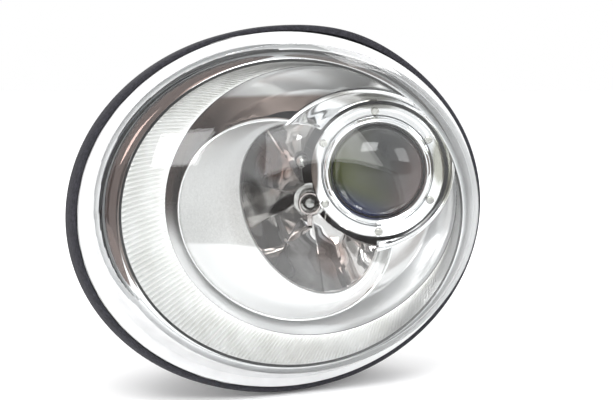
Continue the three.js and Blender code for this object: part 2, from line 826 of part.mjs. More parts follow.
// The bucket's outside, swollen by a clearance for whatever has to sit on it.
function bucketOutside(by = 0) {
  const front = rimLoop(grown([159.5, 125.8], by), 9);
  const back = rearLoop(by, REAR_Y - 7);
  return loft(
    [
      dot(RIM, [0, 0], 3.4 - by),
      rimLoop([165.8, 132.1], 3.4 - by),
      rimLoop([165.8, 132.1], 8),
      front,
      between(front, back, 0.33),
      between(front, back, 0.66),
      back,
      rearLoop(by - 2, REAR_Y - 2 + by),
      rearLoop(by - 8, REAR_Y + by),
      dot(SQUARE, REAR_CENTRE, REAR_Y + by),
    ],
    false,
  );
}

function bucketInside() {
  const front = rimLoop([155.5, 121.8], 9);
  const back = rearLoop(-3, REAR_Y - 9);
  return loft(
    [
      dot(RIM, [0, 0], -10),
      rimLoop([154.6, 120.9], -10),
      rimLoop([154.6, 120.9], 3.4),
      front,
      between(front, back, 0.33),
      between(front, back, 0.66),
      back,
      rearLoop(-9, REAR_Y - 3),
      dot(SQUARE, REAR_CENTRE, REAR_Y - 3),
    ],
    false,
  );
}

function housing() {
  const capRooms = [HIGH_CAP, LOW_CAP].map(([x, z]) =>
    turned(rodProfile(CAP_BORE_R, REAR_Y - 10, COLLAR_END_Y + 10), x, z, 28),
  );
  const [px, , pz] = PIVOT;
  const tower = turned(ringProfile(3, 9, 98, REAR_Y - 1), px, pz, 16);
  const pivotBore = turned(rodProfile(3, 90, REAR_Y + 10), px, pz, 16);
  const bosses = [VERTICAL, HORIZONTAL].map(([x, z]) =>
    turned(ringProfile(5, 9, REAR_Y - 12, REAR_Y - 1), x, z, 16),
  );
  const rodBores = [VERTICAL, HORIZONTAL].map(([x, z]) =>
    turned(rodProfile(5, 110, REAR_Y + 10), x, z, 16),
  );
  const [cx, cz] = CONNECTOR;
  const plugWindow = block(cx - 11, cx + 11, REAR_Y - 10, REAR_Y + 10, cz - 16, cz + 16);
  const ventBore = turned(rodProfile(5, REAR_Y - 10, REAR_Y + 10), VENT[0], VENT[1], 16);
  const [lx, ly, lz] = LOCK;
  const lockPad = block(lx - 34, lx + 34, ly - 12, ly + 20, 92, lz + 5.6);
  const shell = joined(bucketOutside(), lockPad, railBosses());
  const hollow = cut(joined(shell, bodyRib()), bucketInside());
  const full = joined(hollow, tower, ...bosses, ...rearRibs());
  return cut(full, ...capRooms, pivotBore, ...rodBores, plugWindow, ventBore, ...railScrewRooms(2.5));
}

// The ring round a bulb opening that a dust cap slides over, seated on the rear wall.
function capCollar([x, z]) {
  const ring = turned(ringProfile(CAP_BORE_R, COLLAR_R, REAR_Y - 3, COLLAR_END_Y), x, z, 28);
  return cut(ring, bucketOutside(0.02));
}

// Low stiffening ribs across the rear wall.
function rearRibs() {
  return [
    block(-74, -44, REAR_Y - 1, REAR_Y + 3, -36, -33),
    block(30, 33, REAR_Y - 1, REAR_Y + 3, -88, -52),
    block(58, 61, REAR_Y - 1, REAR_Y + 3, -82, -20),
    block(-20, -17, REAR_Y - 1, REAR_Y + 3, -84, -46),
  ];
}

// A rib that runs round the body, following its own wall.
function bodyRib(by = 0) {
  const front = rimLoop([159.5, 125.8], 9);
  const back = rearLoop(0, REAR_Y - 7);
  const near = between(front, back, 0.6, -by);
  const far = between(front, back, 0.64, by);
  const middle = new THREE.Vector3(15, 0, 0);
  const push = (loop, by) => (angle) => {
    const point = loop(angle);
    const out = point.clone().sub(middle).setY(0).normalize();
    return point.addScaledVector(out, by);
  };
  return loft([push(near, -1), push(near, 3 + by), push(far, 3 + by), push(far, -1)]);
}

// ---- Rear closures ----
function dustCap([x, z]) {
  const shell = turned(
    [
      [0, 176], [30, 176], [38, 174], [43.5, 171], [45, 168], [45, 156], [42.2, 156],
      [42.2, 167.4], [0, 170],
    ],
    x,
    z,
    28,
  );
  const handle = block(x - 24, x + 24, 175, 186, z - 3, z + 3);
  const room = turned(
    [[0, 150], [42.2, 150], [42.2, 167.4], [0, 170]],
    x,
    z,
    28,
  );
  return cut(joined(shell, handle), room);
}

function capSeal([x, z]) {
  return turned(
    [[38, 166.6], [40.6, 166.4], [40.8, 167], [38, 167.3], [38, 166.6]],
    x,
    z,
    28,
  );
}

function mainConnector() {
  const [x, z] = CONNECTOR;
  const flange = block(x - 15, x + 15, REAR_Y + 0.4, REAR_Y + 3, z - 20, z + 20);
  const shroud = block(x - 10.4, x + 10.4, REAR_Y - 8, REAR_Y + 22, z - 15.4, z + 15.4);
  const room = block(x - 8, x + 8, REAR_Y + 2, REAR_Y + 30, z - 13, z + 13);
  const key = block(x - 2, x + 2, REAR_Y + 2.4, REAR_Y + 20, z + 15, z + 17);
  return cut(joined(flange, shroud, key), room);
}

function connectorContacts() {
  const [x, z] = CONNECTOR;
  const base = block(x - 7, x + 7, REAR_Y + 2.4, REAR_Y + 4, z - 12, z + 12);
  const blades = [];
  for (const dx of [-4, 4]) {
    for (const dz of [-8, 0, 8]) {
      const [bx, bz] = [x + dx, z + dz];
      blades.push(block(bx - 0.4, bx + 0.4, REAR_Y + 3.6, REAR_Y + 15, bz - 1.5, bz + 1.5));
    }
  }
  return joined(base, ...blades);
}

function ventCap() {
  const [x, z] = VENT;
  const elbow = turned(
    [[0, REAR_Y - 6], [4.6, REAR_Y - 6], [4.6, REAR_Y + 0.5], [9, REAR_Y + 0.5], [9, 150], [0, 150]],
    x,
    z,
    20,
  );
  const spout = block(x - 4, x + 4, REAR_Y + 3, REAR_Y + 9, z - 15, z - 6);
  return joined(elbow, spout);
}

// ---- Mounting: guide rail below, slide lock on top ----
const RAIL_X = [-30, 42];
const RAIL_TOP = -112;
const RAIL_SCREWS = [[-4, 104], [16, 104]];

// A runner on two walls, topped with a pad whose upper side follows the housing.
function guideRail() {
  const foot = -STAND_Z;
  const runner = slabX(
    [[33, foot], [120, foot], [124, foot + 5], [124, foot + 8], [29, foot + 8], [29, foot + 5]],
    RAIL_X[0],
    RAIL_X[1],
  );
  const wall = [[40, foot + 7], [120, foot + 7], [120, -100], [40, -100]];
  const walls = [RAIL_X[0] + 10, RAIL_X[1] - 15].map((x) => slabX(wall, x, x + 5));
  const cross = block(RAIL_X[0] + 12, RAIL_X[1] - 12, 112, 117, foot + 7, -100);
  const pad = block(RAIL_X[0] + 12, RAIL_X[1] - 12, 92, 114, RAIL_TOP - 4, -100);
  const rail = cut(joined(runner, ...walls, cross, pad), bucketOutside(0.4), bodyRib(0.5));
  return cut(rail, ...railScrewRooms(2.6));
}

function uprightRod(radius, x, y, from, to, sides = 14) {
  const cylinder = new THREE.CylinderGeometry(radius, radius, to - from, sides);
  return welded(cylinder.rotateX(Math.PI / 2).translate(x, y, (from + to) / 2));
}

function railScrewRooms(radius) {
  return RAIL_SCREWS.map(([x, y]) => uprightRod(radius, x, y, RAIL_TOP - 20, -99));
}

// Blocks moulded inside the housing's floor for the rail's screws to bite into.
function railBosses() {
  return block(RAIL_SCREWS[0][0] - 7, RAIL_SCREWS[1][0] + 7, 96, 112, -104, -96);
}

// An outline in Y and Z, given a thickness along X.
function slabX(outline, x0, x1) {
  const shape = new THREE.Shape(outline.map(([y, z]) => new THREE.Vector2(y, z)));
  const geometry = new THREE.ExtrudeGeometry(shape, { depth: x1 - x0, bevelEnabled: false });
  geometry.rotateY(Math.PI / 2).rotateX(Math.PI / 2);
  return welded(geometry.translate(x0, 0, 0));
}

function railScrew([x, y]) {
  const points = [[0, -7.8], [4.6, -7.8], [4.6, -4.4], [2.2, -4.4], [2.2, 11], [0, 12]];
  const screw = new THREE.LatheGeometry(points.map(([r, h]) => new THREE.Vector2(r, h)), 14);
  return welded(screw.rotateX(Math.PI / 2).translate(x, y, RAIL_TOP));
}


function lockBracket() {
  const [x, y, z] = LOCK;
  const foot = block(x - 34, x + 34, y - 12, y + 20, z + 6, z + 8.4);
  const wall = block(x + 5, x + 34, y + 17, y + 20, z + 6, z + 20);
  const arm = block(x - 14, x + 14, y - 12, y + 20, z + 17.6, z + 20);
  return cut(joined(foot, wall, arm), uprightRod(4.3, x, y, z + 8.4, z + 40, 20));
}

function lockShaft() {
  const [x, y, z] = LOCK;
  return joined(uprightRod(3.9, x, y, z + 8.8, z + 22, 20), uprightRod(6.4, x, y, z + 20.4, z + 24.6, 6));
}

function lockLever() {
  const [x, y, z] = LOCK;
  const outline = [
    [x - 9, y - 9], [x + 9, y - 9], [x + 9, y + 5], [x - 4, y + 9], [x - 30, y + 8], [x - 46, y + 3],
    [x - 52, y - 6], [x - 50, y - 14], [x - 44, y - 14], [x - 43, y - 7], [x - 34, y - 4],
  ];
  return plateZ(outline, z + 11, z + 14.5, [[x, y, 4.3]]);
}

// ---- The scene graph ----
const part = new THREE.Group();
const body = new THREE.Group();
body.position.set(-CENTRE_X, -CENTRE_Y, STAND_Z);
part.add(body);

function add(name, geometry, colour, roughness, metalness, extra = {}) {
  const material = new THREE.MeshStandardMaterial({
    color: colour,
    roughness,
    metalness,
    flatShading: true,
    ...extra,
  });
  const mesh = new THREE.Mesh(geometry, material);
  mesh.name = name;
  body.add(mesh);
}

const CLEAR = { transparent: true, opacity: 0.28 };

add("rim_seal", rimSeal(), 0x17171a, 0.95, 0);
add("outer_lens", outerLens(), 0xf4f8fb, 0.05, 0, CLEAR);
add("lens_sealant", lensSealant(), 0x2a2a2c, 0.8, 0);
add("housing", housing(), 0x1d1e20, 0.6, 0);
add("outer_bezel", outerBezel(), 0xe4e6e8, 0.08, 1);
add("fluted_bezel", flutedBezel(), 0xcfd1d2, 0.35, 0.9);
add("inner_bezel", innerBezel(), 0x8d8680, 0.12, 1);
add("bowl_bezel", bowlBezel(), 0xd9dadb, 0.38, 0.85);
add("projector_hood", projectorHood(), 0xdcdee0, 0.12, 1);
add("high_beam_reflector", highBeamReflector(), 0xd8dadc, 0.06, 1);
add("high_beam_glare_tube", glareTube(), 0xb9bcbf, 0.15, 1);
add("high_beam_bulb", highBeamBulb(), 0xdde6ee, 0.1, 0);
add("high_beam_bulb_clip", highBulbClip(), 0xb4b7ba, 0.3, 1);
add("bulb_clip_hinge", clipHinge(), 0xb4b7ba, 0.35, 1);
add("position_bulb", positionBulb(), 0xe9eef2, 0.1, 0);
add("position_bulb_socket", positionSocket(), 0x26272a, 0.6, 0);
add("projector_front_plate", projectorPlate(), 0xdfe1e3, 0.1, 1);
screwSpots().forEach((spot, i) => {
  add(`projector_screw_${i + 1}`, plateScrew(spot), 0xc4c7ca, 0.2, 1);
});
add("projector_lens_ring", lensRing(), 0xe6e8ea, 0.06, 1);
add("projector_lens", projectorLens(), 0x8d8f8c, 0.03, 0);
add("projector_barrel", projectorBarrel(), 0x9b9ea1, 0.5, 0.8);
add("cutoff_shield", cutoffShield(), 0x3a3b3d, 0.5, 0.8);
add("projector_reflector", projectorReflector(), 0xc9ccce, 0.25, 1);
add("low_beam_bulb", lowBeamBulb(), 0xdde6ee, 0.1, 0);
add("low_beam_bulb_ring", lowBulbRing(), 0x2a2b2e, 0.6, 0);
add("optics_carrier", opticsCarrier(), 0x3a3c3f, 0.65, 0);
add("pivot_stud", pivotStud(), 0xb9bcbf, 0.3, 1);
add("pivot_socket", pivotSocket(), 0xe8e6dc, 0.5, 0);
add("vertical_rod_socket", rodSocket(VERTICAL), 0xe8e6dc, 0.5, 0);
add("horizontal_rod_socket", rodSocket(HORIZONTAL), 0xe8e6dc, 0.5, 0);
add("levelling_motor", levellingMotor(), 0x222326, 0.6, 0);
add("vertical_adjuster_rod", adjusterRod(VERTICAL, 176), 0xb9bcbf, 0.3, 1);
add("vertical_adjuster_knob", adjusterKnob(VERTICAL, 169, 183), 0xe9e9e6, 0.5, 0);
add("horizontal_adjuster_rod", adjusterRod(HORIZONTAL, 150), 0xb9bcbf, 0.3, 1);
add("horizontal_adjuster_knob", adjusterKnob(HORIZONTAL, REAR_Y + 1, 157), 0xe9e9e6, 0.5, 0);
add("low_cap_collar", capCollar(LOW_CAP), 0x1d1e20, 0.6, 0);
add("high_cap_collar", capCollar(HIGH_CAP), 0x1d1e20, 0.6, 0);
add("low_beam_cap", dustCap(LOW_CAP), 0x202124, 0.6, 0);
add("low_cap_seal", capSeal(LOW_CAP), 0x6a2f24, 0.8, 0);
add("high_beam_cap", dustCap(HIGH_CAP), 0x202124, 0.6, 0);
add("high_cap_seal", capSeal(HIGH_CAP), 0x6a2f24, 0.8, 0);
add("main_connector", mainConnector(), 0x2a2b2e, 0.55, 0);
add("connector_contacts", connectorContacts(), 0xb08a45, 0.3, 1);
add("vent_cap", ventCap(), 0x2b2b2d, 0.8, 0);
add("guide_rail", guideRail(), 0x232427, 0.6, 0);
RAIL_SCREWS.forEach((spot, i) => {
  add(`guide_rail_screw_${i + 1}`, railScrew(spot), 0xa9acaf, 0.35, 1);
});
add("lock_bracket", lockBracket(), 0xa9acaf, 0.4, 0.9);
add("lock_shaft", lockShaft(), 0xb9bcbf, 0.3, 1);
add("lock_lever", lockLever(), 0x9ea1a4, 0.35, 1);

export default part;
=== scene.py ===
import json
import math

import bmesh
import bpy
from mathutils import Matrix, Vector, noise


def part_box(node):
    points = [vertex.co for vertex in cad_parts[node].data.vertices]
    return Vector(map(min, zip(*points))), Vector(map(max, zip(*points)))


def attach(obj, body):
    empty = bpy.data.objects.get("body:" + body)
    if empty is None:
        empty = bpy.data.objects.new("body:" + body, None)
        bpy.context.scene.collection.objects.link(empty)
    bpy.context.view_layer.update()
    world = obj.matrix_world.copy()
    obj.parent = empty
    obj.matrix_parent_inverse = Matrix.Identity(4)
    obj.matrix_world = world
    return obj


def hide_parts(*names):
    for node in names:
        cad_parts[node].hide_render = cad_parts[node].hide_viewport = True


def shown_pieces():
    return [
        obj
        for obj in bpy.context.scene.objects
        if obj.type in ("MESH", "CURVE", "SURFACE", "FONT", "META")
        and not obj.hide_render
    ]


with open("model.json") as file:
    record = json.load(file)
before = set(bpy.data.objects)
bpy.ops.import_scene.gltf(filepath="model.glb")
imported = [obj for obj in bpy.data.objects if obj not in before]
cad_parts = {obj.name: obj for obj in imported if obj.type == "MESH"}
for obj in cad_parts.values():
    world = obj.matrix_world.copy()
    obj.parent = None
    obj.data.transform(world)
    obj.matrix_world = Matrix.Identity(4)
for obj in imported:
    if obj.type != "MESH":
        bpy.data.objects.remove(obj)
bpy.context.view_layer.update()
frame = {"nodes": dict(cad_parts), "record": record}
record = frame["record"]

BODY_OF = {node: body for body, nodes in record["behaviour"]["bodies"].items() for node in nodes}
SLOT_OF = {row["node"]: row["material_slot"] for row in record["subparts"]}

# ---- Driving dimensions: millimetres from the optical origin, and degrees, as in the solids ----
# Three leaning planes carry the ovals: the rim's, the trim's face and the high-beam mouth.
RIM_AT, RIM_SWEEP, RIM_RAKE = (8.3, 4.2, 0), 27, 6
FACE_AT, FACE_SWEEP = (0, -15, 0), 20
MOUTH_AT, MOUTH_SWEEP = (0, 5, 0), 12
RIM_TILT, TRIM_TILT = 3, -1

SEAL_RADII, SEAL_BORE, SEAL_FRONT, SEAL_BACK = (170.7, 136.6), (166.3, 132.6), -3, 13
SWELL_AT, SWELL_HALF, SWELL = 64, 22, 3.6  # where round the rim the foam swells, and how far

FLANGE_CENTRE, FLANGE_RADII, FLANGE_BACK, FLANGE_FRONT = (0.2, 0), (165.5, 131.8), -0.4, -4.4
FOOT_CENTRE, FOOT_RADII, FOOT_TILT, FOOT_INSIDE, FOOT_FRONT = (0.3, 0), (158.5, 125.5), 0.6, -5, -8
WALL_TOP, WALL_HEIGHT, WALL_ROWS = (153, 120.5), 25, 20
DOME_HEIGHT, DOME_FULLNESS, DOME_ROWS, LENS_THICKNESS = 75, 3.6, 26, 3
FROST_TOP, CLEAR_AT, CLEAR_HALF, CLEAR_DROP = 1.5, 150, 54, 13  # the wall is clear lower down at the left

CHROME_CENTRE, CHROME_RADII, CHROME_BACK, CHROME_FRONT = (0, -1.2), (150.2, 117.1), 2, -12
CHROME_SIDE_ROWS = 0.06  # share of the ring's rows that make its outer side
LIP_DEPTH = -22
FLUTE_CENTRE, FLUTE_RADII = (-1, -3.4), (140.5, 112.6)
FLUTES, FLUTE_STEPS, FLUTE_DEPTH, FLUTE_FADE = 236, 8, 1.5, 8
VALLEY_CENTRE, VALLEY_RADII, VALLEY_TILT, VALLEY_DEPTH = (21.4, 5.2), (122.6, 100.4), 2, -8
FLOOR_CENTRE, FLOOR_RADII, FLOOR_DEPTH, FLOOR_ROWS = (40, 1), (88, 74), 34, 16

BOWL_CENTRE, BOWL_RADII, BOWL_TILT, RIDGE_WIDTH = (9.7, -7.6), (88.6, 72.6), -26.8, 2.2
HOOD_CENTRE, HOOD_RADII, HOOD_TILT, HOOD_BORE_R = (67.9, 26.8), (76.5, 61.8), 2, 53.6
MOUTH_CENTRE, MOUTH_RADII, MOUTH_TILT = (25.4, -1.4), (69.9, 50), -62.7

HIGH, BULB_HOLE_R, CUP_BACK = (25, -1), 12.6, 71
SECTORS, SECTOR_STEPS, TIER_AT, FACET_LEAN, FACET_BOW = 9, 30, 0.42, 9, 5
TUBE_LEG_HALF, TUBE_LEG_FRONT, TUBE_LEG_BACK, TUBE_LEG_LOW, TUBE_LEG_HIGH = 2, 53, 66, -20, -17.6
TUBE_ARM_DEPTH, TUBE_ARM_HIGH = 3, -8.4  # the arm stands up from the leg to the tube
PARK, PARK_R = (19, 31.5), 6
LOW, LOW_CLEARANCE_R = (76.8, 25.6), 58
PLATE_Y, PLATE_R, PLATE_BORE_R, PLATE_DEPTH = 34, 51, 42.6, 4
RETAINER_R, RETAINER_BORE_R, LENS_R = 42, 35.6, 35
SCREWS, SCREW_TURN = 6, 0.9  # radians between one screw's cross and the next
RECESS_LONG, RECESS_NARROW, RECESS_FLOOR, RECESS_TOP = 1.9, 0.34, 1.5, 3.4

FINE, ROUND = 240, 160  # segments round the big ovals, and round the projector's rings
WELD, SOFT_EDGE = 2e-6, 0.0004  # metres: points closer than this are one; width of a softened edge

lens_low, lens_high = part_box("projector_lens")
LENS_SEAT = PLATE_Y + 4.6  # where the solid lens ends at the back
ORIGIN = Vector(
    (
        (lens_low.x + lens_high.x) / 2 - LOW[0] / 1000,
        lens_high.y - LENS_SEAT / 1000,
        (lens_low.z + lens_high.z) / 2 - LOW[1] / 1000,
    )
)


# ---- Planes, loops and curves ----
def tilted_plane(at, sweep, rake):
    turn = Matrix.Rotation(math.radians(sweep), 4, "Z") @ Matrix.Rotation(-math.radians(rake), 4, "X")
    return Matrix.Translation(Vector(at)) @ turn


RIM = tilted_plane(RIM_AT, RIM_SWEEP, RIM_RAKE)
FACE = tilted_plane(FACE_AT, FACE_SWEEP, 0)
MOUTH = tilted_plane(MOUTH_AT, MOUTH_SWEEP, 0)
SQUARE = Matrix.Identity(4)


def on_plane(plane, point):
    """A point of the scene, in metres, as millimetres on a plane: across, depth, up."""
    return plane.inverted() @ ((point - ORIGIN) * 1000)


def grown(radii, by):
    return (radii[0] + by, radii[1] + by)


def reach(radii, tilt, angle):
    """How far an oval reaches from its centre at an angle."""
    turned_by = angle - math.radians(tilt)
    return radii[0] * radii[1] / math.hypot(radii[1] * math.cos(turned_by), radii[0] * math.sin(turned_by))


def oval(plane, centre, radii, tilt, depth, push=0):
    """A loop on a plane, then pushed back along Y."""

    def loop(angle):
        far = reach(radii, tilt, angle)
        flat = Vector((centre[0] + far * math.cos(angle), depth, centre[1] + far * math.sin(angle)))
        return plane @ flat + Vector((0, push, 0))

    return loop


def circle(radius, y, centre):
    """A loop round a line along Y."""
    return lambda angle: Vector(
        (centre[0] + radius * math.cos(angle), y, centre[1] + radius * math.sin(angle))
    )


def dot(plane, centre, depth):
    """A loop shrunk to one point."""
    point = plane @ Vector((centre[0], depth, centre[1]))
    return lambda angle: point.copy()


def between(first, second, share, push=0):
    return lambda angle: first(angle).lerp(second(angle), share) + Vector((0, push, 0))


def curve(loops, steps):
    """Loops on a smooth curve through the given loops."""
    made = []
    for k in range(len(loops) - 1):
        four = [loops[max(k - 1, 0)], loops[k], loops[k + 1], loops[min(k + 2, len(loops) - 1)]]
        for step in range(steps):
            made.append(spline_loop(four, step / steps))
    return made + [loops[-1]]


def bulged(first, last, bulges, steps):
    """A smooth curve between two loops, pushed back at each (share of the way, push)."""
    middle = [between(first, last, share, push) for share, push in bulges]
    return curve([first, *middle, last], steps)


def spline_loop(four, t):
    """The loop a share t of the way from the second of four loops to the third."""

    def loop(angle):
        a, b, c, d = (one(angle) for one in four)
        squared = 2 * a - 5 * b + 4 * c - d
        cubed = 3 * b - a - 3 * c + d
        return 0.5 * (2 * b + (c - a) * t + squared * t * t + cubed * t**3)

    return loop


# ---- Meshes ----
def placed(name, data):
    obj = bpy.data.objects.new(name, data)
    bpy.context.scene.collection.objects.link(obj)
    return obj


def shade(obj, sharp):
    obj.data.shade_smooth()
    obj.data.set_sharp_from_angle(angle=math.radians(sharp))
    return obj


def finish_mesh(obj, sharp=40):
    mesh = bmesh.new()
    mesh.from_mesh(obj.data)
    bmesh.ops.remove_doubles(mesh, verts=mesh.verts, dist=WELD)
    bmesh.ops.recalc_face_normals(mesh, faces=mesh.faces)
    mesh.to_mesh(obj.data)
    mesh.free()
    return shade(obj, sharp)


def from_bmesh(name, mesh, sharp):
    data = bpy.data.meshes.new(name)
    mesh.to_mesh(data)
    mesh.free()
    return shade(placed(name, data), sharp)


def skin(name, loops, closed=True, segments=FINE, sharp=40, shape=None):
    """A surface through the loops. shape(point, angle, row) may move each point."""
    rows = len(loops)
    strips = rows if closed else rows - 1
    points, faces = [], []
    for i in range(segments):
        angle = 2 * math.pi * i / segments
        for j, loop in enumerate(loops):
            point = loop(angle)
            if shape:
                point = shape(point, angle, j / (rows - 1))
            points.append(ORIGIN + point * 0.001)
    for i in range(segments):
        for j in range(strips):
            k, after = (j + 1) % rows, (i + 1) % segments
            faces.append((i * rows + j, i * rows + k, after * rows + k, after * rows + j))
    mesh = bpy.data.meshes.new(name)
    mesh.from_pydata([tuple(p) for p in points], [], faces)
    layer = mesh.uv_layers.new(name="UVMap")
    last_segment = (segments - 1) * strips
    for polygon in mesh.polygons:
        for corner, vertex in zip(polygon.loop_indices, polygon.vertices):
            around = (vertex // rows) / segments
            if polygon.index >= last_segment and around < 0.5:
                around += 1
            layer.data[corner].uv = (around, (vertex % rows) / (rows - 1))
    return finish_mesh(placed(name, mesh), sharp)


def turned(name, profile, centre, segments):
    """A closed lathe about a line along Y, from (radius, y) pairs."""
    loops = [circle(radius, y, centre) for radius, y in profile]
    return skin(name, loops, segments=segments, sharp=35)


def trim(obj, plane, centre, radii, tilt, depth=0, keep="outside"):
    """Cuts a skin along an oval seen down the Y axis, and leaves a clean edge on it."""
    along = plane.inverted().to_3x3() @ Vector((0, 1, 0))
    mesh = bmesh.new()
    mesh.from_mesh(obj.data)
    edge_for = {}  # each point that goes, and the place on the cut that it may move to
    for vertex in mesh.verts:
        flat = on_plane(plane, vertex.co)
        slide = (depth - flat.y) / along.y
        flat = flat + along * slide
        across, up = flat.x - centre[0], flat.z - centre[1]
        angle = math.atan2(up, across)
        far = reach(radii, tilt, angle)
        if (math.hypot(across, up) < far) == (keep == "outside"):
            edge = Vector((centre[0] + far * math.cos(angle), depth, centre[1] + far * math.sin(angle)))
            edge_for[vertex] = ORIGIN + (plane @ edge - Vector((0, slide, 0))) * 0.001
    gone = [face for face in mesh.faces if all(vertex in edge_for for vertex in face.verts)]
    kept = [face for face in mesh.faces if not all(vertex in edge_for for vertex in face.verts)]
    for face in kept:
        for vertex in face.verts:
            if vertex in edge_for:
                vertex.co = edge_for[vertex]
    bmesh.ops.delete(mesh, geom=gone, context="FACES")
    mesh.to_mesh(obj.data)
    mesh.free()


def rounded_box(name, low, high, bevel):
    """A box between two corners in millimetres, with its edges rounded."""
    mesh = bmesh.new()
    bmesh.ops.create_cube(mesh, size=1)
    size = Vector(high) - Vector(low)
    middle = (Vector(high) + Vector(low)) / 2
    for vertex in mesh.verts:
        vertex.co = ORIGIN + (Vector([a * b for a, b in zip(vertex.co, size)]) + middle) * 0.001
    bmesh.ops.bevel(
        mesh, geom=mesh.edges[:], offset=bevel / 1000, segments=2, affect="EDGES", profile=0.6
    )
    return from_bmesh(name, mesh, 50)


def merged(name, *objects):
    """Several meshes as one piece."""
    mesh = bmesh.new()
    for obj in objects:
        mesh.from_mesh(obj.data)
        bpy.data.objects.remove(obj)
    return from_bmesh(name, mesh, 40)


def carved(obj, name, *tools):
    """obj with the tools cut out of it, as one plain mesh."""
    for tool in tools:
        cutter = obj.modifiers.new("cut", "BOOLEAN")
        cutter.operation = "DIFFERENCE"
        cutter.solver = "EXACT"
        cutter.object = tool
    bpy.context.view_layer.update()
    made = bpy.data.meshes.new_from_object(obj.evaluated_get(bpy.context.evaluated_depsgraph_get()))
    for gone in (obj, *tools):
        bpy.data.objects.remove(gone)
    made.name = name
    return finish_mesh(placed(name, made))


# ---- Finishes ----
MIX_SHARE, MIX_UNDER, MIX_OVER, MIX_COLOUR = 0, 6, 7, 2  # a Mix node's colour sockets, by number


def linked(tree, source, target):
    tree.links.new(source, target)


def noise_node(tree, place, scale, detail=2):
    node = tree.nodes.new("ShaderNodeTexNoise")
    node.inputs["Scale"].default_value = scale
    node.inputs["Detail"].default_value = detail
    linked(tree, place, node.inputs["Vector"])
    return node


def surface(
    name, dark, light, rough=(0.2, 0.3), metallic=0.0, grain=40.0, bump=0.0, bump_scale=900.0, **extra
):
    """A procedural finish: two mottled tones, varied roughness and a fine relief."""
    material = bpy.data.materials.new(name)
    material.use_nodes = True
    tree = material.node_tree
    shader = tree.nodes["Principled BSDF"]
    place = tree.nodes.new("ShaderNodeTexCoord").outputs["Object"]
    mottle = noise_node(tree, place, grain, detail=5)
    tones = tree.nodes.new("ShaderNodeValToRGB")
    for stop, position, tone in zip(tones.color_ramp.elements, (0.35, 0.68), (dark, light)):
        stop.position = position
        stop.color = (*tone, 1)
    linked(tree, mottle.outputs["Fac"], tones.inputs["Fac"])
    linked(tree, tones.outputs["Color"], shader.inputs["Base Color"])
    spread = tree.nodes.new("ShaderNodeMapRange")
    spread.inputs["To Min"].default_value, spread.inputs["To Max"].default_value = rough
    linked(tree, mottle.outputs["Fac"], spread.inputs["Value"])
    linked(tree, spread.outputs["Result"], shader.inputs["Roughness"])
    shader.inputs["Metallic"].default_value = metallic
    for socket, value in extra.items():
        shader.inputs[socket.replace("_", " ")].default_value = value
    if bump:
        fine = noise_node(tree, place, bump_scale, detail=3)
        relief = tree.nodes.new("ShaderNodeBump")
        relief.inputs["Strength"].default_value = bump
        relief.inputs["Distance"].default_value = 0.0004
        linked(tree, fine.outputs["Fac"], relief.inputs["Height"])
        linked(tree, relief.outputs["Normal"], shader.inputs["Normal"])
    return material


def painted_tone(material, mask, colour):
    """Mixes a colour of painted light or shade into a finish where the mask is one."""
    tree = material.node_tree
    target = tree.nodes["Principled BSDF"].inputs["Base Color"]
    mix = tree.nodes.new("ShaderNodeMix")
    mix.data_type = "RGBA"
    mix.inputs[MIX_OVER].default_value = (*colour, 1)
    linked(tree, mask, mix.inputs[MIX_SHARE])
    linked(tree, target.links[0].from_socket, mix.inputs[MIX_UNDER])
    linked(tree, mix.outputs[MIX_COLOUR], target)


def graded(material, start, end, colour):
    """Shades a finish towards a colour along a line between two points, in the part's own frame."""
    tree = material.node_tree
    place = tree.nodes.new("ShaderNodeTexCoord").outputs["Object"]
    line = (Vector(end) - Vector(start)) * 0.001
    offset = tree.nodes.new("ShaderNodeVectorMath")
    offset.operation = "SUBTRACT"
    offset.inputs[1].default_value = ORIGIN + Vector(start) * 0.001
    linked(tree, place, offset.inputs[0])
    project = tree.nodes.new("ShaderNodeVectorMath")
    project.operation = "DOT_PRODUCT"
    project.inputs[1].default_value = line / line.length_squared
    linked(tree, offset.outputs["Vector"], project.inputs[0])
    ramp = tree.nodes.new("ShaderNodeMapRange")
    ramp.interpolation_type = "SMOOTHSTEP"
    linked(tree, project.outputs["Value"], ramp.inputs["Value"])
    painted_tone(material, ramp.outputs["Result"], colour)


def painted_reflection(material, kind, centre, half, colour, soft=0.1, turn=0):
    """An oval painted reflection, in millimetres across the front ("Object") or along a skin's own rows
    ("UV").
    """
    tree = material.node_tree
    place = tree.nodes.new("ShaderNodeTexCoord").outputs[kind]
    fit = tree.nodes.new("ShaderNodeMapping")
    fit.vector_type = "TEXTURE"
    if kind == "UV":
        fit.inputs["Location"].default_value = (*centre, 0)
        fit.inputs["Scale"].default_value = (*half, 1)
    else:
        endless = 1e6  # the painted patch goes straight through from front to back
        fit.inputs["Location"].default_value = ORIGIN + Vector((centre[0], 0, centre[1])) * 0.001
        fit.inputs["Rotation"].default_value = (0, -math.radians(turn), 0)
        fit.inputs["Scale"].default_value = (half[0] * 0.001, endless, half[1] * 0.001)
    linked(tree, place, fit.inputs["Vector"])
    far = tree.nodes.new("ShaderNodeVectorMath")
    far.operation = "LENGTH"
    linked(tree, fit.outputs["Vector"], far.inputs[0])
    fade = tree.nodes.new("ShaderNodeMapRange")
    fade.interpolation_type = "SMOOTHSTEP"
    fade.inputs["From Min"].default_value, fade.inputs["From Max"].default_value = 1, 1 - soft
    linked(tree, far.outputs["Value"], fade.inputs["Value"])
    painted_tone(material, fade.outputs["Result"], colour)


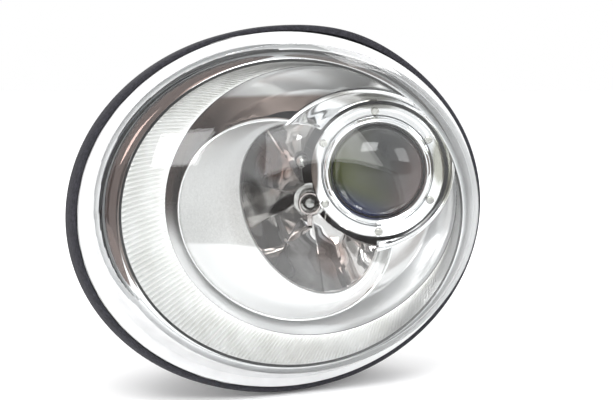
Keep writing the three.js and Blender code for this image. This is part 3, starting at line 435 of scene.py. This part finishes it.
def clear_plastic(name, tint, haze, haze_colour, gloss=0.7):
    """See-through plastic: clear straight through, bright at a grazing look, with a little haze."""
    material = bpy.data.materials.new(name)
    material.use_nodes = True
    tree = material.node_tree
    shader = tree.nodes["Principled BSDF"]
    shader.inputs["Base Color"].default_value = (*haze_colour, 1)
    shader.inputs["Roughness"].default_value = 0.35
    clear = tree.nodes.new("ShaderNodeBsdfTransparent")
    clear.inputs["Color"].default_value = (*tint, 1)
    shine = tree.nodes.new("ShaderNodeBsdfGlossy")
    shine.inputs["Roughness"].default_value = 0.02
    facing = tree.nodes.new("ShaderNodeLayerWeight")
    facing.inputs["Blend"].default_value = 0.5
    steep = tree.nodes.new("ShaderNodeMath")
    steep.operation = "POWER"
    steep.inputs[1].default_value = 5
    linked(tree, facing.outputs["Facing"], steep.inputs[0])
    edge = tree.nodes.new("ShaderNodeMapRange")
    edge.inputs["To Min"].default_value, edge.inputs["To Max"].default_value = 0.03, gloss
    linked(tree, steep.outputs[0], edge.inputs["Value"])
    specks = noise_node(tree, tree.nodes.new("ShaderNodeTexCoord").outputs["Object"], 60)
    level = tree.nodes.new("ShaderNodeMapRange")
    level.inputs["To Min"].default_value, level.inputs["To Max"].default_value = haze
    linked(tree, specks.outputs["Fac"], level.inputs["Value"])
    body = mixed(tree, level.outputs["Result"], clear.outputs[0], shader.outputs[0])
    whole = mixed(tree, edge.outputs[0], body, shine.outputs[0])
    linked(tree, whole, tree.nodes["Material Output"].inputs["Surface"])
    return material


def mixed(tree, share, under, over):
    """One shader over another, by a share."""
    node = tree.nodes.new("ShaderNodeMixShader")
    for number, source in enumerate((share, under, over)):
        linked(tree, source, node.inputs[number])
    return node.outputs[0]


# ---- Materials, one for each slot of the record ----
MATERIALS = {
    "foam_seal": surface(
        "foam", (0.012, 0.012, 0.016), (0.035, 0.034, 0.045), (0.75, 0.95),
        grain=500, bump=0.9, bump_scale=1500,
    ),
    "sealant": surface("sealant", (0.02, 0.02, 0.02), (0.05, 0.05, 0.05), (0.3, 0.5), bump=0.3),
    "housing_plastic": surface(
        "housing_plastic", (0.018, 0.018, 0.02), (0.034, 0.034, 0.038), (0.42, 0.6),
        grain=70, bump=0.35, bump_scale=2200,
    ),
    "bright_chrome": surface(
        "bright_chrome", (0.86, 0.87, 0.88), (0.95, 0.95, 0.95), (0.03, 0.07), 1.0, grain=25,
    ),
    "satin_fluted": surface(
        "satin_fluted", (0.84, 0.84, 0.82), (0.93, 0.93, 0.92), (0.28, 0.36), 1.0, grain=60, bump=0.08,
    ),
    "satin_silver": surface(
        "satin_silver", (0.84, 0.85, 0.86), (0.92, 0.92, 0.92), (0.3, 0.4), 1.0,
        grain=90, bump=0.25, bump_scale=3000,
    ),
    "reflector_mirror": surface(
        "reflector_mirror", (0.84, 0.78, 0.75), (0.94, 0.91, 0.89), (0.02, 0.06), 1.0, grain=30,
    ),
    "bulb_glass": surface(
        "bulb_glass", (0.35, 0.35, 0.34), (0.6, 0.6, 0.58), (0.05, 0.15), 0.8, grain=120,
    ),
    "zinc_steel": surface(
        "zinc_steel", (0.42, 0.42, 0.4), (0.66, 0.66, 0.62), (0.2, 0.35), 1.0, grain=160, bump=0.15,
    ),
    "cast_alloy": surface(
        "cast_alloy", (0.3, 0.31, 0.32), (0.48, 0.48, 0.5), (0.4, 0.6), 1.0, grain=200, bump=0.5,
    ),
    "blackened_steel": surface(
        "blackened_steel", (0.015, 0.015, 0.017), (0.05, 0.05, 0.055), (0.4, 0.6), 0.6,
        grain=150, bump=0.2,
    ),
    "carrier_plastic": surface(
        "carrier_plastic", (0.04, 0.042, 0.046), (0.07, 0.072, 0.078), (0.4, 0.55),
        grain=80, bump=0.3, bump_scale=2000,
    ),
    "natural_acetal": surface(
        "natural_acetal", (0.66, 0.64, 0.56), (0.78, 0.76, 0.68), (0.3, 0.42), grain=60, bump=0.1,
    ),
    "knob_plastic": surface(
        "knob_plastic", (0.66, 0.66, 0.62), (0.78, 0.78, 0.74), (0.35, 0.5), grain=60, bump=0.15,
    ),
    "black_plastic": surface(
        "black_plastic", (0.014, 0.014, 0.016), (0.03, 0.03, 0.033), (0.3, 0.48),
        grain=90, bump=0.3, bump_scale=2400,
    ),
    "seal_silicone": surface(
        "seal_silicone", (0.16, 0.04, 0.025), (0.25, 0.07, 0.045), (0.4, 0.55), grain=120, bump=0.1,
    ),
    "contact_brass": surface(
        "contact_brass", (0.55, 0.4, 0.2), (0.75, 0.6, 0.35), (0.2, 0.35), 1.0, grain=200,
    ),
    "clear_lens": clear_plastic("lens_clear", (0.985, 0.99, 0.99), (0.0, 0.02), (0.8, 0.82, 0.84)),
    "lens_glass": surface(
        "projector_glass", (0.012, 0.013, 0.014), (0.045, 0.044, 0.043), (0.01, 0.03), 0.0, grain=34,
        IOR=1.5, Coat_Weight=0.25, Coat_Roughness=0.01,
    ),
}


def on_glass(across, up):
    """A point on the projector lens, from its middle."""
    return (LOW[0] + across, PLATE_Y, LOW[1] + up)


# Painted reflections: the projector lens is tinted green at the left, blue low down and brown at the
# right.
graded(MATERIALS["lens_glass"], on_glass(12, 8), on_glass(-30, -12), (0.05, 0.06, 0.015))
graded(MATERIALS["lens_glass"], on_glass(-5, -14), on_glass(-14, -34), (0.02, 0.03, 0.1))
graded(MATERIALS["lens_glass"], on_glass(4, -4), on_glass(32, -14), (0.07, 0.045, 0.042))


def swap(obj, node, material=None):
    """obj takes the place of a CAD node, which is hidden: same body, and the slot's finish unless it has
    or is given its own.
    """
    slot = SLOT_OF[node]
    if material or not obj.data.materials:
        obj.data.materials.append(material or MATERIALS[slot])
    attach(obj, BODY_OF[node])
    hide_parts(node)


def two_finishes(obj, main, other, is_other):
    """Gives obj its main finish, and the other one on the faces that is_other picks."""
    obj.data.materials.append(main)
    obj.data.materials.append(other)
    for polygon in obj.data.polygons:
        polygon.material_index = int(is_other(polygon))


# ---- Foam seal ----
def foam_ring(radii, depth):
    return oval(RIM, (0, 0), radii, RIM_TILT, depth)


def foam_shape(point, angle, row):
    """The foam is pressed in a little all round, and swells out at the upper right."""
    inward = (RIM @ Vector((0, 0, 0)) - point).normalized()
    if row >= 0.9:
        return point + inward * 0.2
    swell = math.exp(-(((math.degrees(angle) - SWELL_AT) / SWELL_HALF) ** 2))
    return point + inward * (0.4 - SWELL * swell * math.sin(math.pi * min(1, row + 0.2)))


seal_front = [
    foam_ring(SEAL_BORE, SEAL_FRONT + 1.5),
    foam_ring(grown(SEAL_RADII, -1.2), SEAL_FRONT),
    foam_ring(SEAL_RADII, SEAL_FRONT + 4),
]
seal_back = [
    foam_ring(SEAL_RADII, SEAL_BACK - 3),
    foam_ring(grown(SEAL_RADII, -1.5), SEAL_BACK),
    foam_ring(SEAL_BORE, SEAL_BACK),
]
seal = skin("rim_seal_foam", curve(seal_front, 3) + curve(seal_back, 3), shape=foam_shape)
swap(seal, "rim_seal")


# ---- Outer lens: dome, wall and flange ----
def dome(inset, share):
    """A row of the dome, from its top at share 0 to the wall's top at share 1."""
    if share == 0:
        return dot(RIM, (0, 0), inset - DOME_HEIGHT)
    radii = (WALL_TOP[0] * share - inset, WALL_TOP[1] * share - inset)
    height = WALL_HEIGHT + (DOME_HEIGHT - WALL_HEIGHT) * (1 - share**DOME_FULLNESS)
    return oval(RIM, (0, 0), radii, 0, inset * 0.9 - height)


def foot(by, depth):
    return oval(RIM, FOOT_CENTRE, grown(FOOT_RADII, by), FOOT_TILT, depth)


def flange(by, depth):
    return oval(RIM, FLANGE_CENTRE, grown(FLANGE_RADII, by), RIM_TILT, depth)


def wall(bottom, top):
    return [between(bottom, top, k / WALL_ROWS) for k in range(1, WALL_ROWS)]


def is_frosted(polygon):
    """True on the flange and low on the wall, where the plastic looks white."""
    flat = on_plane(RIM, polygon.center)
    around = math.degrees(math.atan2(flat.z, flat.x)) % 360
    clear_share = math.sqrt(max(0, 1 - ((around - CLEAR_AT) / CLEAR_HALF) ** 2))
    return flat.y > FROST_TOP - WALL_HEIGHT + CLEAR_DROP * clear_share


dome_shares = [math.sin(math.pi / 2 * (1 - k / DOME_ROWS)) for k in range(DOME_ROWS)] + [0]
dome_inside = [dome(LENS_THICKNESS, share) for share in reversed(dome_shares)]
dome_outside = [dome(0, share) for share in dome_shares]
inner_foot, outer_foot = foot(-LENS_THICKNESS, FOOT_INSIDE), foot(0, FOOT_FRONT)
flange_loops = [
    inner_foot,
    foot(-LENS_THICKNESS, FLANGE_BACK),
    flange(-0.6, FLANGE_BACK),
    flange(0, FLANGE_BACK - 0.6),
    flange(0, FLANGE_FRONT + 0.8),
    flange(-0.7, FLANGE_FRONT),
    foot(1, FLANGE_FRONT - 0.4),
    foot(0.1, FLANGE_FRONT - 1.2),
    outer_foot,
]
lens = skin(
    "outer_lens_clear",
    dome_inside
    + wall(dome(LENS_THICKNESS, 1), inner_foot)
    + flange_loops
    + wall(outer_foot, dome(0, 1))
    + dome_outside,
    closed=False,
    sharp=60,
)
LENS_EDGE = clear_plastic("lens_edge", (0.97, 0.98, 0.98), (0.6, 0.85), (0.97, 0.975, 0.98), gloss=0.5)
two_finishes(lens, MATERIALS["clear_lens"], LENS_EDGE, is_frosted)
swap(lens, "outer_lens")


# ---- Chrome ring inside the rim ----
def chrome(by, depth):
    return oval(RIM, CHROME_CENTRE, grown(CHROME_RADII, by), TRIM_TILT, depth)


def flute_edge(by, depth):
    return oval(RIM, FLUTE_CENTRE, grown(FLUTE_RADII, by), TRIM_TILT, depth)


def is_ring_side(polygon):
    layer = ring.data.uv_layers[0].data
    return max(layer[corner].uv[1] for corner in polygon.loop_indices) < CHROME_SIDE_ROWS


front, lip = chrome(0, CHROME_FRONT), flute_edge(0.6, LIP_DEPTH)
ring = skin(
    "outer_bezel_chrome",
    [chrome(0, CHROME_BACK), chrome(0, CHROME_FRONT + 1)]
    + bulged(front, lip, ((0.3, -3.2), (0.65, -3)), 7)
    + [flute_edge(1.2, LIP_DEPTH + 0.8), between(front, lip, 0.7, -1.6)]
    + [chrome(-1.4, CHROME_FRONT + 3), chrome(-1.4, CHROME_BACK)],
)
# Painted reflections: the brown band at the left, the grey band along the top and the dark line over it.
RING_CHROME = surface("ring_chrome", (0.88, 0.89, 0.9), (0.96, 0.96, 0.96), (0.03, 0.07), 1.0, grain=25)
painted_reflection(RING_CHROME, "UV", (0.41, 0.5), (0.145, 0.36), (0.135, 0.098, 0.088), soft=0.04)
painted_reflection(RING_CHROME, "UV", (0.19, 0.5), (0.07, 0.24), (0.28, 0.23, 0.21), soft=0.08)
painted_reflection(RING_CHROME, "UV", (0.19, 0.2), (0.065, 0.05), (0.02, 0.02, 0.022), soft=0.2)
# A painted reflection: the black crescent on the ring's side, with a blue edge.
RING_SIDE = surface("ring_side", (0.84, 0.84, 0.85), (0.93, 0.93, 0.93), (0.25, 0.35), 0.3, grain=40)
painted_reflection(RING_SIDE, "UV", (0.425, 0.034), (0.134, 0.021), (0.02, 0.02, 0.12), soft=0.04)
painted_reflection(RING_SIDE, "UV", (0.43, 0.036), (0.124, 0.02), (0.003, 0.003, 0.004), soft=0.04)
two_finishes(ring, RING_CHROME, RING_SIDE, is_ring_side)
swap(ring, "outer_bezel")


# ---- Fluted band ----
def valley(by, depth):
    return oval(RIM, VALLEY_CENTRE, grown(VALLEY_RADII, by), VALLEY_TILT, depth)


def flutes(point, angle, row):
    """Rounded flutes that die out towards both edges of the band."""
    wave = abs(math.sin(angle * FLUTES / 2))
    depth = FLUTE_DEPTH * (1 - wave) * min(1, FLUTE_FADE * row, FLUTE_FADE * (1 - row))
    return point + (RIM.to_3x3() @ Vector((0, 1, 0))) * depth


band_lip, band_foot = flute_edge(-1.4, LIP_DEPTH), valley(0.4, VALLEY_DEPTH)
band = skin(
    "fluted_band",
    bulged(band_lip, band_foot, ((0.33, 2.4), (0.66, 2.4)), 5),
    closed=False,
    segments=FLUTES * FLUTE_STEPS,
    sharp=75,
    shape=flutes,
)
swap(band, "fluted_bezel")

# ---- Valley behind the band, darkened by painted reflections ----
basin_edge = valley(0, VALLEY_DEPTH + 0.4)
floor = oval(FACE, FLOOR_CENTRE, FLOOR_RADII, 0, FLOOR_DEPTH)
floor_centre = dot(FACE, FLOOR_CENTRE, FLOOR_DEPTH)
basin_top = [basin_edge] + [
    between(basin_edge, floor, share, push) for share, push in ((0.08, 1.6), (0.25, 2.6), (0.6, 5))
]
basin_low = [between(basin_edge, floor, share, push) for share, push in ((0.7, 4), (0.8, 3), (0.9, 1.5))]
basin = skin(
    "inner_bezel_valley",
    curve(basin_top, 6)
    + basin_low
    + [floor]
    + [between(floor, floor_centre, k / FLOOR_ROWS) for k in range(1, FLOOR_ROWS)]
    + [floor_centre],
    closed=False,
    sharp=60,
)
trim(basin, FACE, BOWL_CENTRE, grown(BOWL_RADII, -0.4), BOWL_TILT)
trim(basin, FACE, HOOD_CENTRE, grown(HOOD_RADII, -0.4), HOOD_TILT)
trim(basin, MOUTH, MOUTH_CENTRE, grown(MOUTH_RADII, 7), MOUTH_TILT)
# Painted reflections: brown below the top, darker to the left of it, and bright again low down and at the
# right.
VALLEY = surface("valley_chrome", (0.9, 0.9, 0.9), (0.97, 0.97, 0.97), (0.14, 0.22), 0.55, grain=25)
graded(VALLEY, (0, 0, 86), (0, 0, 82), (0.32, 0.25, 0.22))
graded(VALLEY, (-10, 0, 66), (-62, 0, 56), (0.09, 0.06, 0.05))
graded(VALLEY, (0, 0, 14), (0, 0, -26), (0.95, 0.95, 0.95))
graded(VALLEY, (30, 0, 0), (58, 0, 0), (0.93, 0.93, 0.93))
swap(basin, "inner_bezel", material=VALLEY)


# ---- Satin bowl with its bright ridge ----
def ridge(by, push):
    return oval(FACE, BOWL_CENTRE, grown(BOWL_RADII, by), BOWL_TILT, 0, push)


def mouth(by, push):
    return oval(MOUTH, MOUTH_CENTRE, grown(MOUTH_RADII, by), MOUTH_TILT, 0, push)


def is_ridge(polygon):
    flat = on_plane(FACE, polygon.center)
    across, up = flat.x - BOWL_CENTRE[0], flat.z - BOWL_CENTRE[1]
    inset = reach(BOWL_RADII, BOWL_TILT, math.atan2(up, across)) - math.hypot(across, up)
    return inset < RIDGE_WIDTH


ridge_foot, bowl_foot = ridge(-2.4, 1.4), mouth(0, 0)
ridge_loops = [ridge(-0.1, 2.4), ridge(-0.6, 0.9), ridge(-1.4, 0.2), ridge(-2, 0.5), ridge_foot]
bowl = skin(
    "bowl_satin",
    [ridge(0, 14), ridge(0, 3.4)]
    + curve(ridge_loops, 3)
    + bulged(ridge_foot, bowl_foot, ((0.35, 4), (0.7, 4)), 8)
    + curve([mouth(-0.5, 0.1), mouth(-1.6, 1.4), mouth(-2, 5)], 3),
    closed=False,
    sharp=38,
)
trim(bowl, FACE, HOOD_CENTRE, grown(HOOD_RADII, -0.5), HOOD_TILT)
# Light grey satin, its grey painted shade that darkens towards the top, with a painted reflection: a step
# to white that runs level across it.
BOWL_SATIN = surface(
    "bowl_satin_silver", (0.6, 0.6, 0.59), (0.7, 0.7, 0.69), (0.3, 0.4), 0.8,
    grain=700, bump=0.25, bump_scale=3000,
)
graded(BOWL_SATIN, (-60, 0, 0), (-30, 0, 70), (0.5, 0.5, 0.5))
graded(BOWL_SATIN, (-40, 0, -23.5), (-40.4, 0, -26), (0.95, 0.95, 0.95))
two_finishes(bowl, BOWL_SATIN, MATERIALS["bright_chrome"], is_ridge)
swap(bowl, "bowl_bezel")


# ---- Projector hood ----
def hood_lip(by, push):
    return oval(FACE, HOOD_CENTRE, grown(HOOD_RADII, by), HOOD_TILT, 0, push)


hood_top, hood_foot = hood_lip(-2.6, 1), circle(HOOD_BORE_R, PLATE_Y - 3, LOW)
hood = skin(
    "projector_hood_chrome",
    [hood_lip(0, 8), hood_lip(0, 1.2)]
    + curve([hood_lip(-0.15, 0.5), hood_lip(-0.9, 0), hood_lip(-1.8, 0.3), hood_top], 3)
    + bulged(hood_top, hood_foot, ((0.4, 3), (0.75, 2.4)), 8)
    + [circle(HOOD_BORE_R, PLATE_Y + 1.6, LOW)],
    closed=False,
    sharp=38,
)
trim(hood, RIM, VALLEY_CENTRE, grown(VALLEY_RADII, -1.2), VALLEY_TILT, VALLEY_DEPTH, keep="inside")
trim(hood, MOUTH, MOUTH_CENTRE, grown(MOUTH_RADII, -1.6), MOUTH_TILT)
# Painted reflections: grey along the hood's top and down its right side.
HOOD_CHROME = surface("hood_chrome", (0.88, 0.89, 0.9), (0.96, 0.96, 0.96), (0.04, 0.09), 1.0, grain=25)
painted_reflection(HOOD_CHROME, "Object", (62, 80), (46, 9), (0.34, 0.33, 0.31), soft=0.7, turn=-14)
painted_reflection(HOOD_CHROME, "Object", (126, 30), (10, 44), (0.42, 0.42, 0.36), soft=0.6, turn=8)
swap(hood, "projector_hood", material=HOOD_CHROME)


# ---- High-beam reflector ----
def facets(point, angle, row):
    """Mirror facets: each one leans its own way, with a small step to the next."""
    if row < 0.02 or row > 0.97:
        return point
    turn = angle / (2 * math.pi) * SECTORS
    sector, across = int(turn), turn % 1 - 0.5
    tier = 0 if row < TIER_AT else 1
    lean = noise.noise(Vector((sector * 1.7, tier * 3.1, 5))) * FACET_LEAN
    return point + Vector((0, (lean * across - FACET_BOW * across * across) * (1 - row), 0))


cup_edge = oval(MOUTH, MOUTH_CENTRE, grown(MOUTH_RADII, 0.5), MOUTH_TILT, 0, 16)
cup_back = circle(BULB_HOLE_R, CUP_BACK, HIGH)
cup = skin(
    "high_beam_mirror",
    bulged(cup_edge, cup_back, ((0.25, 9), (0.55, 11.5), (0.82, 6)), 8)
    + [circle(BULB_HOLE_R, CUP_BACK + 2.4, HIGH)],
    closed=False,
    segments=SECTORS * SECTOR_STEPS,
    sharp=14,
    shape=facets,
)
trim(cup, SQUARE, PARK, (PARK_R, PARK_R), 0)
trim(cup, SQUARE, LOW, (LOW_CLEARANCE_R, LOW_CLEARANCE_R), 0)
# Painted reflections: brown, black, pale and grey patches from left to right, and a dark line along the
# top edge.
CUP_MIRROR = surface("cup_mirror", (0.84, 0.82, 0.81), (0.95, 0.94, 0.93), (0.02, 0.06), 0.84, grain=30)
painted_reflection(CUP_MIRROR, "Object", (-2, 32), (17, 22), (0.5, 0.36, 0.32), soft=0.5, turn=20)
painted_reflection(CUP_MIRROR, "Object", (5, -3), (17, 6), (0.03, 0.025, 0.025), soft=0.4, turn=32)
painted_reflection(CUP_MIRROR, "Object", (42, -44), (14, 18), (0.74, 0.63, 0.59), soft=0.4, turn=12)
painted_reflection(CUP_MIRROR, "Object", (-18, 8), (8, 24), (0.3, 0.29, 0.28), soft=0.6, turn=24)
painted_reflection(CUP_MIRROR, "Object", (6, 64), (26, 3.2), (0.05, 0.045, 0.04), soft=0.5, turn=-2)
swap(cup, "high_beam_reflector", material=CUP_MIRROR)

# ---- Glare tube over the high-beam bulb, on its leg ----
TUBE_PROFILE = [(6.9, 46), (7.4, 45.5), (8.5, 45.5), (9, 46), (9.2, 48), (8.8, 59), (6.9, 59)]
tube = turned("glare_tube_chrome", TUBE_PROFILE, HIGH, 64)
leg_low = (HIGH[0] - TUBE_LEG_HALF, TUBE_LEG_FRONT, HIGH[1] + TUBE_LEG_LOW)
leg_high = (HIGH[0] + TUBE_LEG_HALF, TUBE_LEG_BACK, HIGH[1] + TUBE_LEG_HIGH)
arm_high = (HIGH[0] + TUBE_LEG_HALF, TUBE_LEG_FRONT + TUBE_ARM_DEPTH, HIGH[1] + TUBE_ARM_HIGH)
leg = rounded_box("leg", leg_low, leg_high, 0.5)
arm = rounded_box("arm", leg_low, arm_high, 0.5)
TUBE_CHROME = surface("tube_chrome", (0.34, 0.31, 0.3), (0.55, 0.51, 0.49), (0.05, 0.12), 1.0, grain=120)
swap(merged("high_beam_glare_shield", tube, leg, arm), "high_beam_glare_tube", material=TUBE_CHROME)

# ---- Low-beam projector: profiles are (radius, height in front of the plate's face) pairs ----
PLATE_PROFILE = [
    (PLATE_BORE_R, 0.2), (43.4, 0.9), (47.5, 0.6), (49.6, 0.9), (50.4, 0.6), (PLATE_R, -0.2),
    (PLATE_R, -PLATE_DEPTH), (PLATE_BORE_R, -PLATE_DEPTH),
]
RETAINER_PROFILE = [
    (RETAINER_BORE_R, 3), (36, 4.8), (37, 6.1), (38.2, 6.6), (39.4, 6.3), (40.6, 5.2), (41.4, 3.6),
    (41.9, 1.6), (RETAINER_R, 0), (RETAINER_R, -PLATE_DEPTH), (RETAINER_BORE_R, -PLATE_DEPTH),
]
GLASS_PROFILE = [
    (0, 20.5), (5, 20.34), (10, 19.8), (15, 18.8), (20, 17.1), (25, 14.5), (29, 11.6), (32, 8.4),
    (34, 4.8), (34.8, 2), (LENS_R, 0), (LENS_R, -4.5), (0, -4.5),
]
SCREW_PROFILE = [(0, 2.45), (1.6, 2.4), (2.5, 2.1), (3.1, 1.3), (3.2, 0.6), (3.2, 0.4), (0, 0.4)]


def from_plate(profile):
    return [(radius, PLATE_Y - height) for radius, height in profile]


def recess_bar(wide, tall, at, turn):
    """One bar of a screw head's cross recess, turned about the screw."""
    front, back = PLATE_Y - RECESS_TOP, PLATE_Y - RECESS_FLOOR
    bar = rounded_box("slot", (-wide, front, -tall), (wide, back, tall), 0.1)
    to_screw = Matrix.Translation(ORIGIN + Vector((at[0], 0, at[1])) * 0.001)
    for move in (Matrix.Translation(-ORIGIN), turn, to_screw):
        bar.data.transform(move)
    return bar


plate = turned("projector_plate_chrome", from_plate(PLATE_PROFILE), LOW, ROUND)
# Painted reflections: grey at the plate's right, dark at its left edge, and a grey line along its top.
PLATE_CHROME = surface("plate_chrome", (0.86, 0.87, 0.88), (0.95, 0.95, 0.95), (0.04, 0.08), 1.0, grain=25)
painted_reflection(PLATE_CHROME, "Object", (124, 34), (8, 26), (0.4, 0.4, 0.35), soft=0.5)
painted_reflection(PLATE_CHROME, "Object", (28, 22), (5, 30), (0.12, 0.1, 0.09), soft=0.6)
painted_reflection(PLATE_CHROME, "Object", (70, 76), (30, 4), (0.3, 0.3, 0.28), soft=0.6, turn=-4)
swap(plate, "projector_front_plate", material=PLATE_CHROME)
swap(turned("projector_lens_ring_chrome", from_plate(RETAINER_PROFILE), LOW, ROUND), "projector_lens_ring")
swap(turned("projector_lens_glass", from_plate(GLASS_PROFILE), LOW, ROUND), "projector_lens")

for number in range(1, SCREWS + 1):
    low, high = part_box(f"projector_screw_{number}")
    middle = (low + high) / 2 - ORIGIN
    at = (middle.x * 1000, middle.z * 1000)
    head = turned("head", from_plate(SCREW_PROFILE), at, 40)
    turn = Matrix.Rotation(SCREW_TURN * number, 4, "Y")
    level = recess_bar(RECESS_LONG, RECESS_NARROW, at, turn)
    upright = recess_bar(RECESS_NARROW, RECESS_LONG, at, turn)
    swap(carved(head, f"projector_screw_head_{number}", level, upright), f"projector_screw_{number}")

# ---- The rest keeps its solids, with finishes and softened edges ----
KEEP_EDGES = ("lens_sealant", "low_cap_seal", "high_cap_seal")
shown = {piece.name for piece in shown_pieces()}
for node, obj in frame["nodes"].items():
    obj.data.materials.clear()
    obj.data.materials.append(MATERIALS[SLOT_OF[node]])
    shade(obj, 32)
    if node in shown and node not in KEEP_EDGES:
        soften = obj.modifiers.new("soft_edges", "BEVEL")
        soften.width = SOFT_EDGE
        soften.segments = 2
        soften.limit_method = "ANGLE"
        soften.angle_limit = math.radians(40)


# ---- Stage, in metres ----
STAGE_MIDDLE = (0, 0, 0.13)
FLOOR_HALF = 6


def card(name, corners, colour, seen=True, glow=0.0):
    """A flat four-cornered panel. An unseen one only shows as a tone in the chrome."""
    mesh = bpy.data.meshes.new(name)
    mesh.from_pydata(corners, [], [(0, 1, 2, 3)])
    obj = placed(name, mesh)
    finish = surface(name, [c * 0.97 for c in colour], colour, (0.7, 0.8), grain=3, Emission_Strength=glow)
    finish.node_tree.nodes["Principled BSDF"].inputs["Emission Color"].default_value = (1, 1, 1, 1)
    mesh.materials.append(finish)
    obj.visible_camera = obj.visible_diffuse = obj.visible_shadow = seen


def upright_card(name, left, right, low, high, colour):
    """An unseen card that stands between two places on the floor."""
    corners = [(*left, low), (*right, low), (*right, high), (*left, high)]
    card(name, corners, colour, seen=False)


def area_light(name, at, size, power):
    data = bpy.data.lights.new(name, "AREA")
    data.shape = "RECTANGLE"
    data.size, data.size_y = size
    data.energy = power
    obj = placed(name, data)
    obj.location = at
    obj.rotation_euler = (Vector(STAGE_MIDDLE) - Vector(at)).to_track_quat("-Z", "Y").to_euler()


floor_corners = [(x * FLOOR_HALF, y * FLOOR_HALF, 0) for x, y in ((-1, -1), (1, -1), (1, 1), (-1, 1))]
card("floor", floor_corners, (0.95, 0.95, 0.955), glow=0.1)
upright_card("brown_card_left", (-1.3, -0.9), (-1.4, 0.1), 0.05, 0.9, (0.2, 0.14, 0.12))
upright_card("brown_card_low", (0.4, -1.0), (1.3, -0.55), 0.01, 0.42, (0.12, 0.085, 0.07))
area_light("key_light", (-0.5, -1.7, 1.8), (1.2, 0.9), 26)
area_light("fill_light", (1.5, -1.2, 1.0), (0.9, 0.9), 9)
area_light("back_light", (0.3, 1.8, 1.5), (1.4, 0.8), 18)

world = bpy.data.worlds.new("studio")
world.use_nodes = True
world.node_tree.nodes["Background"].inputs["Color"].default_value = (1, 1, 1, 1)
world.node_tree.nodes["Background"].inputs["Strength"].default_value = 1.0
bpy.context.scene.world = world
bpy.context.scene.view_settings.view_transform = "Standard"

# ---- Camera: it looks along the optical axis, from six degrees above it ----
CAMERA_FROM_ORIGIN, CAMERA_DOWN, CAMERA_LENS = (0.02235, -1.1927, 0.1321), 6, 94.6
camera_data = bpy.data.cameras.new("camera")
camera_data.lens = CAMERA_LENS
camera_data.sensor_width = 36
camera_data.clip_end = 60
camera = placed("camera", camera_data)
camera.location = ORIGIN + Vector(CAMERA_FROM_ORIGIN)
camera.rotation_euler = (math.radians(90 - CAMERA_DOWN), 0, 0)
bpy.context.scene.camera = camera

bpy.context.view_layer.update()
